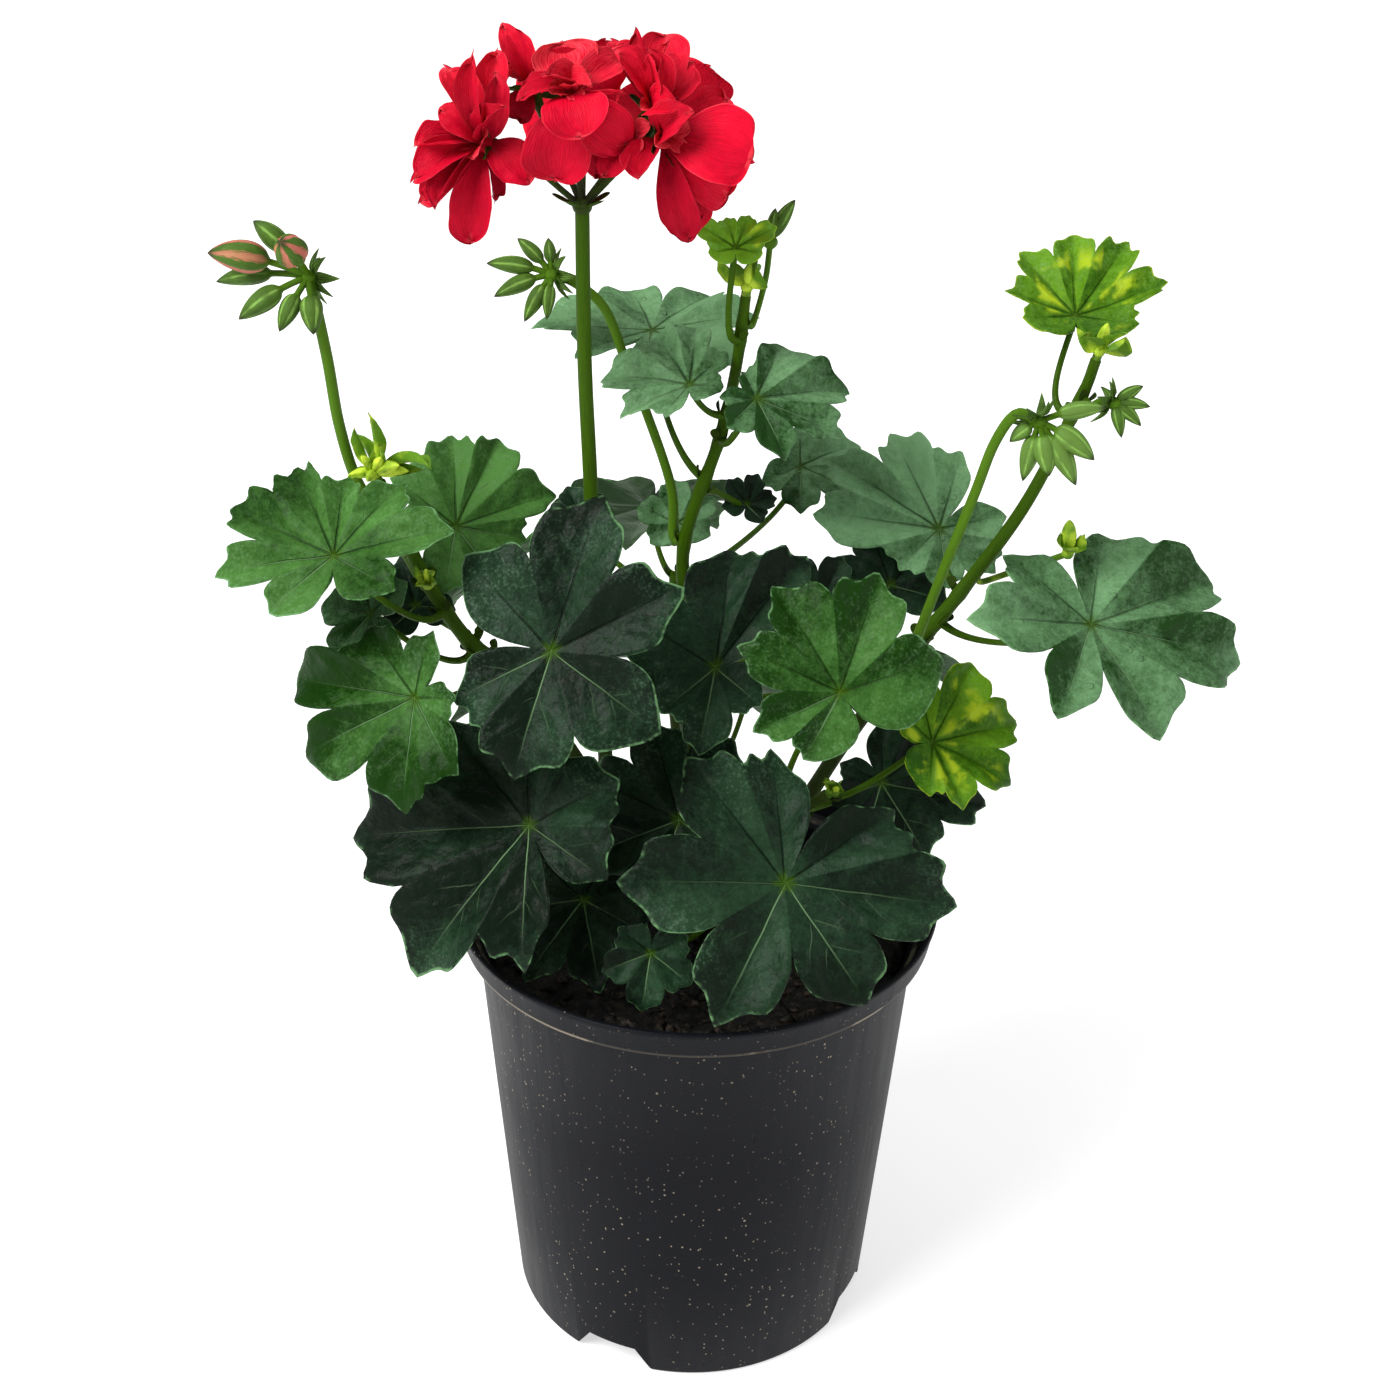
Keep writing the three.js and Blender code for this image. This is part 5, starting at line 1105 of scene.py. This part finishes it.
def pot_finish(name, plastic, fleck):
    """Recycled plastic: charcoal with faint streaks down the wall, a fine grain and small pits,
    pale flecks of two sizes that gather at the front, and a thin pale line along the ledge: a
    painted highlight all round, with stronger scuffed stretches."""
    f = Finish(name, specular=0.09)
    _, y, z = f.parts(f.object)
    streaks = f.noise(1, 4, f.stretched(f.object, (260.0, 260.0, 22.0)))
    grain, cloud = f.noise(1300, 2), f.noise(28, 2)
    front = y.step(0.0, -0.035)
    gather = (front * 0.7 + cloud.swing(0.8)).step(0.36, 0.92)
    large = f.specks(400, 0.17, 0.2)
    small = f.specks(900, 0.24, 0.2, f.stretched(f.object, (1.0, 1.0, 0.7)))
    pits = f.specks(150, 0.13, 0.1, f.stretched(f.object, (1.6, 1.6, 0.5)))
    colour = f.mix(streaks * 0.7 + grain * 0.3, scaled(plastic, 0.6), scaled(plastic, 1.5))
    colour = f.mix(pits * 0.7, colour, scaled(plastic, 0.2))
    # Painted highlight along the ledge's edge, faint all round and stronger in scuffed stretches
    ledge = abs(z - LEDGE_LINE_HEIGHT).step(0.0008, 0.0003)
    ledge_highlight_and_scuff = ledge * (0.2 + f.noise(60, 4).step(0.5, 0.6)).clamped()
    # The flecks also carry the painted ledge highlight
    flecks = (large.highest(small) * gather).highest(ledge_highlight_and_scuff * 0.7)
    f.colour(f.mix(flecks * 0.85, colour, fleck))
    f.roughness(0.36, 0.55, streaks)
    f.relief(grain * 0.4 + streaks * 0.8 + flecks * 0.4 - pits, 0.14)
    return f.material


def soil_finish(name, dark, bark):
    """Damp potting mix: nearly black peat with brown bits and a moist glint."""
    f = Finish(name, specular=0.25)
    bits, clods = f.noise(380, 5), f.noise(110, 3)
    share = bits.step(0.46, 0.7) * f.value("bark")
    f.colour(f.mix(share, f.mix(clods, scaled(dark, 0.4), dark), bark))
    f.roughness(0.35, 0.9, clods)
    f.relief(bits + clods, 1.0)
    return f.material


def finish_of(name):
    """The named material, made once from the user's colours."""
    if name in bpy.data.materials:
        return bpy.data.materials[name]
    look = bpy.context.scene.geranium_colours
    vein, rim, young = look.vein, look.rim, look.young_leaf_deep
    recipes = {
        "dark_leaf_skin": (leaf_finish, look.dark_leaf_deep, look.dark_leaf, vein, rim, 0.75, 0.1),
        "leaf_skin": (leaf_finish, look.leaf_deep, look.leaf, vein, rim, 0.6, 0.08),
        "grey_leaf_skin": (leaf_finish, look.grey_leaf_deep, look.grey_leaf, vein, rim, 0.6, 0.12,
                           0.0, 1.0),
        "young_leaf_skin": (leaf_finish, young, look.young_leaf, young, look.variegation, 0.6, 0.08,
                            0.85),
        "stem_skin": (stem_finish, look.stem, look.wood),
        "petal_skin": (petal_finish, look.petal_deep, look.petal, look.petal_pale),
        "bud_skin": (bud_finish, look.bud, look.bud_seam, look.blush, scaled(look.stem, 1.9)),
        "shoot_skin": (shoot_finish, look.shoot, scaled(look.variegation, 1.5, 0.03)),
        "pot_plastic": (pot_finish, look.plastic, look.fleck),
        "potting_mix": (soil_finish, look.soil, look.bark),
    }
    make, *inputs = recipes[name]
    return make(name, *inputs)


# What a user can change


def colour_property(name, description, colour):
    return bpy.props.FloatVectorProperty(
        name=name, description=description, default=colour, subtype="COLOR", min=0, max=1)


def length_property(name, description, default):
    return bpy.props.FloatProperty(
        name=name, description=description, default=default, unit="LENGTH", min=0.0002)


def share_property(name, description, default, most):
    return bpy.props.FloatProperty(
        name=name, description=description, default=default, subtype="FACTOR", min=0, max=most)


def power_property(name, description, default):
    return bpy.props.FloatProperty(
        name=name, description=description, default=default, unit="POWER", min=0)


def count_property(name, description, default, least, most):
    return bpy.props.IntProperty(
        name=name, description=description, default=default, min=least, max=most)


class GeraniumSizes(bpy.types.PropertyGroup):
    leaf_thickness: length_property("Leaf thickness", "Thickness of a leaf blade", 0.0005)
    petal_thickness: length_property("Petal thickness", "Thickness of a petal", 0.00035)
    ruffle: share_property(
        "Edge ripple", "Height of the ripple at a leaf's edge, as a share of its size", 0.015, 0.05)
    # Fold shade sets the strength of the painted light and shade on the two halves of each lobe
    fold_shade: share_property(
        "Fold shade", "Difference in tone between the two halves of a lobe", 0.4, 1)
    lobe_columns: count_property("Columns a lobe", "Steps across one lobe of a leaf", 22, 6, 40)
    leaf_rows: count_property("Leaf rows", "Rings from a leaf's junction to its rim", 20, 6, 40)
    pot_sides: count_property("Pot sides", "Steps round the pot", 160, 36, 360)
    crumbs: count_property("Crumbs", "Crumbs and chips lying on the soil", 520, 0, 900)
    seed: bpy.props.IntProperty(
        name="Seed", description="Start of the small random differences", default=14, min=0)


class GeraniumColours(bpy.types.PropertyGroup):
    dark_leaf_deep: colour_property(
        "Dark leaf, deep", "Darkest part of a dark leaf", (0.0022, 0.008, 0.003))
    dark_leaf: colour_property("Dark leaf", "Lightest part of a dark leaf", (0.019, 0.055, 0.023))
    leaf_deep: colour_property("Leaf, deep", "Darkest part of a green leaf", (0.005, 0.03, 0.0006))
    leaf: colour_property("Leaf", "Lightest part of a green leaf", (0.065, 0.18, 0.035))
    grey_leaf_deep: colour_property(
        "Grey leaf, deep", "Darkest part of a grey-green leaf", (0.008, 0.04, 0.004))
    grey_leaf: colour_property(
        "Grey leaf", "Lightest part of a grey-green leaf", (0.15, 0.31, 0.14))
    young_leaf_deep: colour_property(
        "Young leaf, deep", "Darkest part of a young leaf", (0.018, 0.075, 0.0005))
    young_leaf: colour_property("Young leaf", "Lightest part of a young leaf", (0.13, 0.3, 0.012))
    variegation: colour_property("Variegation", "Yellow parts of young leaves", (0.36, 0.48, 0.015))
    leaf_under: colour_property("Leaf underside", "Bloom on a leaf's underside", (0.11, 0.2, 0.1))
    # The colour of the pale specks painted on the leaves as glints
    painted_glint: colour_property("Bloom", "Fine pale bloom on the leaves", (0.14, 0.24, 0.15))
    vein: colour_property("Vein", "Main veins of a leaf", (0.16, 0.28, 0.13))
    # The colour of the thin rim painted along a leaf's edge as a highlight
    rim: colour_property("Rim", "Thin rim of a leaf", (0.16, 0.34, 0.14))
    stem: colour_property("Stem", "Green stems and stalks", (0.036, 0.088, 0.0004))
    wood: colour_property("Woody stem", "Old stem near the soil", (0.03, 0.035, 0.014))
    petal_deep: colour_property("Petal, deep", "Darkest part of a petal", (0.34, 0.0008, 0.014))
    petal: colour_property("Petal", "Lightest part of a petal", (0.96, 0.005, 0.036))
    petal_pale: colour_property("Petal rim", "Pale rim and throat of a petal", (0.98, 0.075, 0.1))
    bud: colour_property("Bud", "Bud scales", (0.06, 0.13, 0.014))
    bud_seam: colour_property("Bud stripe", "Pale stripes on bud scales", (0.22, 0.4, 0.08))
    blush: colour_property("Blush", "Petals that show on an opening bud", (0.52, 0.15, 0.11))
    shoot: colour_property("Shoot", "Young leaflets", (0.12, 0.28, 0.012))
    plastic: colour_property("Plastic", "The pot's plastic", (0.0032, 0.0036, 0.0056))
    fleck: colour_property("Fleck", "Flecks in the plastic", (0.34, 0.29, 0.22))
    soil: colour_property("Soil", "Damp peat", (0.004, 0.0032, 0.003))
    bark: colour_property("Bark", "Brown bits in the soil", (0.085, 0.06, 0.042))


class GeraniumStage(bpy.types.PropertyGroup):
    floor_colour: colour_property("Floor", "The pale floor", (0.6, 0.6, 0.6))
    key: power_property("Key light", "Power of the soft light from the upper left", 27.0)
    fill: power_property("Fill light", "Power of the soft lights from the right and the back", 6.0)
    sky: share_property("Studio walls", "Brightness of the white room as a light", 0.18, 2)


# Operators


class Making:
    """What the operators share: they can be undone, and run once the add-on's settings exist."""

    bl_options = {"REGISTER", "UNDO"}

    @classmethod
    def poll(cls, context):
        return hasattr(context.scene, "geranium_sizes")


def add_object(scene, name, data):
    thing = bpy.data.objects.new(name, data)
    scene.collection.objects.link(thing)
    return thing


class GERANIUM_OT_stage(Making, bpy.types.Operator):
    """Set up the camera, the white floor and backdrop, and the soft lights"""

    bl_idname = "geranium.stage"
    bl_label = "Stage"

    def execute(self, context):
        scene = context.scene
        scene.camera = self.camera(scene)
        self.floor(scene)
        self.lamps(scene)
        scene.world = self.room(scene.geranium_stage.sky)
        scene.view_settings.view_transform = "Standard"
        return {"FINISHED"}

    def camera(self, scene):
        lens = bpy.data.cameras.new("camera")
        lens.sensor_width, lens.lens = SENSOR_WIDTH, FOCAL_LENGTH
        lens.clip_start, lens.clip_end = 0.01, 50
        camera = add_object(scene, "camera", lens)
        camera.location = CAMERA_PLACE
        aim = (Vector(CAMERA_AIM) - camera.location).to_track_quat("-Z", "Y")
        camera.rotation_mode = "QUATERNION"
        camera.rotation_quaternion = aim @ Quaternion((0, 0, 1), np.radians(CAMERA_ROLL))
        return camera

    def floor(self, scene):
        """A large sheet just under the pot, which glows more strongly away from it."""
        colour = scene.geranium_stage.floor_colour
        mesh = bpy.data.meshes.new("floor")
        corners = np.array([(-1, -1, 0), (1, -1, 0), (1, 1, 0), (-1, 1, 0)], float) * FLOOR_REACH
        mesh.from_pydata((corners - [0, 0, FLOOR_DEPTH]).tolist(), [], [(0, 1, 2, 3)])
        floor = add_object(scene, "floor", mesh)
        paper = Finish("floor_paper", specular=0.1)
        grain = paper.noise(8, 2)
        paper.colour(paper.mix(grain, colour, scaled(colour, 1.04)))
        paper.roughness(0.8, 0.95, grain)
        x, y, _ = paper.parts(paper.object)
        away = (x * x + y * y).root()
        glow = paper.mix(away.step(0.2, 1.1), (0.62, 0.62, 0.62), (1.0, 1.0, 1.0))
        paper.feed(paper.shader.inputs["Emission Color"], glow)
        paper.shader.inputs["Emission Strength"].default_value = 1.0
        mesh.materials.append(paper.material)

    def lamps(self, scene):
        stage = scene.geranium_stage
        for name, power, size, place in (("key", stage.key, 0.8, (-0.8, -0.55, 1.2)),
                                         ("fill", stage.fill, 1.1, (1.1, -0.35, 0.7)),
                                         ("top", stage.fill, 1.0, (0.1, 0.5, 1.5))):
            light = bpy.data.lights.new(name, "AREA")
            light.energy, light.size = power, size
            lamp = add_object(scene, name, light)
            lamp.location = place
            aim = (Vector(LAMP_AIM) - lamp.location).to_track_quat("-Z", "Y")
            lamp.rotation_euler = aim.to_euler()

    def room(self, sky):
        """A white world, dim as a light and white where it is seen."""
        world = bpy.data.worlds.new("white_room")
        world.use_nodes = True
        nodes, links = world.node_tree.nodes, world.node_tree.links
        walls = nodes["Background"]
        walls.inputs["Color"].default_value = (1, 1, 1, 1)
        seen = nodes.new("ShaderNodeLightPath").outputs["Is Camera Ray"]
        glare = nodes.new("ShaderNodeMapRange")
        glare.inputs["To Min"].default_value, glare.inputs["To Max"].default_value = sky, 1.0
        links.new(seen, glare.inputs["Value"])
        links.new(glare.outputs["Result"], walls.inputs["Strength"])
        return world


class GERANIUM_OT_pot(Making, bpy.types.Operator):
    """Turn the nursery pot and cut its drain slots"""

    bl_idname = "geranium.pot"
    bl_label = "Pot"

    def execute(self, context):
        scene = context.scene
        shell, cutters = Surface(), Surface()
        shell.loft(pot_rings(scene.geranium_sizes.pot_sides))
        for azimuth in DRAIN_SLOTS:
            cutters.loft(slot_rings(azimuth))
        mesh = cut_slots(shell.mesh("pot_turned"), cutters.mesh("slot_cutters"))
        add_piece("nursery_pot", mesh, "pot", finish_of("pot_plastic"))
        return {"FINISHED"}


class GERANIUM_OT_soil(Making, bpy.types.Operator):
    """Fill the pot with lumpy potting mix"""

    bl_idname = "geranium.soil"
    bl_label = "Soil"

    def execute(self, context):
        scene = context.scene
        mesh = soil_surface(scene.geranium_sizes.seed).mesh("potting_soil")
        add_piece("potting_soil", mesh, "soil", finish_of("potting_mix"))
        return {"FINISHED"}


class GERANIUM_OT_stems(Making, bpy.types.Operator):
    """Grow the five stems, with a swelling and stipules where each branch leaves"""

    bl_idname = "geranium.stems"
    bl_label = "Stems"

    def execute(self, context):
        branches = [(leaf.source, leaf.at) for leaf in LEAVES.values()]
        branches += [(source, np.array(points[0], float))
                     for source, points, _, _ in BUD_HEADS.values()]
        for name, (_, foot, tip) in STEMS.items():
            surface = Surface("shade")
            path = ROUTES[name].path(STEM_ROWS)
            s = np.linspace(0, 1, STEM_ROWS)
            radius = foot + (tip - foot) * s**STEM_TAPER
            for (stem, place), toward in branches:
                if stem == name:
                    middle, outward, reach = branch_start((stem, place), toward)
                    away = np.linalg.norm(path - middle, axis=1)
                    radius = radius + NODE_SWELL * np.exp(-((away / NODE_REACH) ** 2))
                    along = ROUTES[name].at(place)[1][0]
                    self.stipules(surface, middle, along, outward, reach)
            surface.tube(path, radius, 16, shade=0.5 * np.clip(1.2 - s * 2, 0, 1))
            add_piece(f"stem_{name}_skin", surface.mesh(f"stem_{name}"), f"stem_{name}",
                      finish_of("stem_skin"))
        return {"FINISHED"}

    def stipules(self, surface, middle, along, outward, reach):
        """A pair of small scales, one on each side of a branch's foot."""
        side = np.cross(along, outward)
        for k in (-1, 1):
            root = middle + outward * reach * 0.6 + side * reach * 0.75 * k - along * 0.5
            axis = along * 0.8 + outward * 0.45 + side * 0.5 * k
            add_petal(surface, shade=0.4, root=root, axis=axis, turn=0, opening=[10, 30], length=4,
                      width=2.6, cup=0.3, rows=8, columns=12)


class GERANIUM_OT_leaves(Making, bpy.types.Operator):
    """Unfold every leaf on its stalk"""

    bl_idname = "geranium.leaves"
    bl_label = "Leaves"

    def execute(self, context):
        scene = context.scene
        for k, (name, leaf) in enumerate(LEAVES.items()):
            mesh = leaf_surface(leaf, scene.geranium_sizes.seed + k).mesh(f"leaf_{name}")
            add_piece(f"leaf_{name}_blade", mesh, f"leaf_{name}",
                      finish_of(f"{leaf.finish}_skin"))
        return {"FINISHED"}


class GERANIUM_OT_flower(Making, bpy.types.Operator):
    """Open the flower head on its stalk"""

    bl_idname = "geranium.flower"
    bl_label = "Flower head"

    def execute(self, context):
        scene = context.scene
        head, stalk = Surface("rim", "claw", "inner", "shade"), Surface("shade")
        thick = scene.geranium_sizes.petal_thickness / MM
        path = branch_path(*FLOWER_STALK, 90)
        stalk.tube(path, 2.1 - 0.3 * np.linspace(0, 1, len(path)), 16, shade=0.0)
        add_knob(stalk, UMBEL, 2.5, 0.9, shade=0.6)
        for k in range(5):
            add_petal(stalk, shade=0.2, root=UMBEL, axis=UP, turn=72 * k + 10, opening=[75, 60],
                      length=8, width=3, ruffle=0, rows=10, columns=12)
        for name, (at, axis, petals) in FLORETS.items():
            at, axis = np.array(at, float), unit(axis)
            heart = at + axis * (GAP + 3)
            self.pedicel(stalk, at, axis)
            add_knob(head, heart, 2.4, shade=0.6)
            if len(petals) == 2:
                self.whorls(head, heart, axis, *petals, thick)
            else:
                # The middle floret's upright petals are painted much lighter than those of the
                # others
                self.petals(head, heart, axis, petals, 0.7 if name == "middle" else 0.1, thick)
        add_piece("flower_head_petals", head.mesh("flower_head"), "flower_head",
                  finish_of("petal_skin"))
        add_piece("flower_stalk_skin", stalk.mesh("flower_stalk"), "flower_stalk",
                  finish_of("stem_skin"))
        return {"FINISHED"}

    def pedicel(self, stalk, at, axis):
        """A floret's own thin stalk, and the five sepals round its end."""
        reach = np.linalg.norm(at - UMBEL)
        path = bezier(UMBEL, UMBEL + 0.35 * (at - UMBEL), at - axis * 0.25 * reach, at + axis * 1.2,
                      count=20)
        s = np.linspace(0, 1, 20)
        stalk.tube(path, 0.8 + 0.9 * s**6, 10, shade=1 - 0.5 * s)
        for k in range(5):
            add_petal(stalk, root=at + axis * 0.4, axis=axis, turn=36 + 72 * k, opening=[40, 75],
                      length=8, width=2.4, cup=0.5, ruffle=0, rows=10, columns=12, setback=1.2,
                      shade=0.4)

    def whorls(self, head, heart, axis, turn, size, thick):
        """The rings of petals of a floret that isn't given petal by petal."""
        for count, extra, opening, length, width, cup in WHORLS:
            for k in range(count):
                add_petal(head, root=heart, axis=axis, turn=turn + extra + 360 * k / count,
                          opening=opening, length=length * size, width=width * size, cup=cup,
                          twist=0.25, setback=1.6, fray=0.03, thickness=thick, **FINE_PETAL)

    def petals(self, head, heart, axis, petals, pale, thick):
        """A floret's petals, each at its own place, and four small ones in its throat. Narrow ones
        are more keeled and frayed. Pale is how much lighter the petals that stand up are painted,
        as painted light; every other petal, most if narrow, and those that hang are painted darker
        as shade."""
        for k, (tip, width, spin, bow, cup) in enumerate(petals):
            narrow, rise = np.clip((13 - width) / 7, 0, 1), unit(tip - heart)[2]
            # Painted shade on every other petal, most on narrow ones, and on petals that hang;
            # painted light on rising ones goes through inner
            shade = 0.45 * (k % 2) * (0.3 + 0.7 * narrow) + 0.5 * max(0, -rise)
            add_petal(head, root=heart, tip=tip, width=width, spin=spin, bow=bow, cup=cup,
                      keel=0.1 + 0.5 * narrow, curl=0.04 + 0.03 * (k % 3), ruffle=0.25,
                      notch=0.03 * (k % 3) * (1 - narrow), fray=0.03 + 0.03 * narrow,
                      taper=0.5 + 0.25 * narrow, inner=pale * max(0, rise), shade=shade,
                      thickness=thick, **FINE_PETAL)
        for k in range(4):
            add_petal(head, root=heart, axis=unit(axis + HEAD_FACING), turn=25 + 90 * k,
                      opening=[15, 70], length=8, width=4.5, cup=0.5, rows=16, columns=18,
                      thickness=thick, crinkle=0.2, inner=0.7)


class GERANIUM_OT_bud_heads(Making, bpy.types.Operator):
    """Set the green bud heads on their stalks"""

    bl_idname = "geranium.bud_heads"
    bl_label = "Bud heads"

    def execute(self, context):
        for name, (source, points, radius, buds) in BUD_HEADS.items():
            surface = Surface("stalk", "blush", "tip", "light")
            path = branch_path(source, points, 60)
            flare = 0.5 * np.linspace(1, 0, len(path)) ** 12
            surface.tube(path, radius + flare, 14, stalk=1.0)
            crown = np.array(points[-1], float)
            add_knob(surface, crown, 2.0, 0.9, stalk=1.0)
            if len(buds) > 2:
                toward = unit(np.mean([tip for tip, _ in buds], axis=0) - crown)
                self.bracts(surface, crown - toward, toward, radius)
            bare = 0.42 if name == "left" else 0.3 if len(buds) > 4 else 0.1
            plump = 1.25 if name in ("right", "small") else 1.0
            light = 0.3 if name == "right" else 0.0
            for tip, bud_radius in buds:
                blush = float(bud_radius > OPENING_BUD)
                add_bud(surface, crown, tip, bud_radius * plump, blush, bare, light)
            add_piece(f"buds_{name}_head", surface.mesh(f"buds_{name}"), f"buds_{name}",
                      finish_of("bud_skin"))
        return {"FINISHED"}

    def bracts(self, surface, root, axis, radius):
        """Seven pointed bracts that bend back under the buds."""
        for k in range(7):
            add_petal(surface, root=root, axis=axis, turn=51 * k + 20,
                      opening=[95 + 12 * (k % 3), 125], length=6 + radius * (1 + k % 2), width=3.2,
                      cup=0.7, rows=12, columns=12, widest=0.35, point=1.2, taper=0.9)


class GERANIUM_OT_shoots(Making, bpy.types.Operator):
    """Set the tufts of young leaflets on their stems"""

    bl_idname = "geranium.shoots"
    bl_label = "Shoots"

    def execute(self, context):
        for name, (source, points, leaflets, buds) in SHOOTS.items():
            surface = Surface("claw", "shade", "yellow")
            if points:
                surface.tube(branch_path(source, points, 30), 0.9, 10, shade=0.6)
                root = np.array(points[-1], float)
            else:
                tip, along = (value[0] for value in ROUTES[source[0]].at(source[1]))
                root = tip + along * (2 + GAP)
                surface.tube(np.array([tip - along, tip, root - along]), 1.3, 10, shade=0.6)
            add_knob(surface, root, 1.7, 0.9, claw=0.4)
            for k, (axis, length, width) in enumerate(leaflets):
                add_petal(surface, root=root, axis=axis, turn=60 * k,
                          opening=[2, 20 + 20 * (k % 3)], length=length, width=width, cup=0.6,
                          keel=0.25, ruffle=0.5, twist=0.4 * (k % 3 - 1), rows=22, columns=22,
                          crinkle=0.12, fray=0.05, widest=0.5, point=1.4, taper=0.7)
            for axis, length in buds:
                add_bud(surface, root, root + unit(axis) * length, 0.18 * length, 0.0, 0.1)
            add_piece(f"shoot_{name}_tuft", surface.mesh(f"shoot_{name}"), f"shoot_{name}",
                      finish_of("shoot_skin"))
        return {"FINISHED"}


class GERANIUM_PT_panel(bpy.types.Panel):
    """Buttons for every piece, and what a user can change"""

    bl_idname = "GERANIUM_PT_panel"
    bl_label = "Potted ivy geranium"
    bl_space_type = "VIEW_3D"
    bl_region_type = "UI"
    bl_category = "Geranium"

    def draw(self, context):
        for maker in MAKERS:
            self.layout.operator(maker.bl_idname)
        for group in GROUPS:
            holder = getattr(context.scene, group)
            box = self.layout.box()
            for key in type(holder).__annotations__:
                box.prop(holder, key)


GROUPS = {"geranium_sizes": GeraniumSizes, "geranium_colours": GeraniumColours,
          "geranium_stage": GeraniumStage}
MAKERS = (GERANIUM_OT_stage, GERANIUM_OT_pot, GERANIUM_OT_soil, GERANIUM_OT_stems,
          GERANIUM_OT_leaves, GERANIUM_OT_flower, GERANIUM_OT_bud_heads, GERANIUM_OT_shoots)
CLASSES = (*GROUPS.values(), *MAKERS, GERANIUM_PT_panel)


def register():
    for cls in CLASSES:
        bpy.utils.register_class(cls)
    for name, group in GROUPS.items():
        setattr(bpy.types.Scene, name, bpy.props.PointerProperty(type=group))


def unregister():
    for name in GROUPS:
        delattr(bpy.types.Scene, name)
    for cls in reversed(CLASSES):
        bpy.utils.unregister_class(cls)


def main():
    register()
    bpy.ops.geranium.stage()
    bpy.ops.geranium.pot()
    bpy.ops.geranium.soil()
    bpy.ops.geranium.stems()
    bpy.ops.geranium.leaves()
    bpy.ops.geranium.flower()
    bpy.ops.geranium.bud_heads()
    bpy.ops.geranium.shoots()
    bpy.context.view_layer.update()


if __name__ == "__main__":
    main()
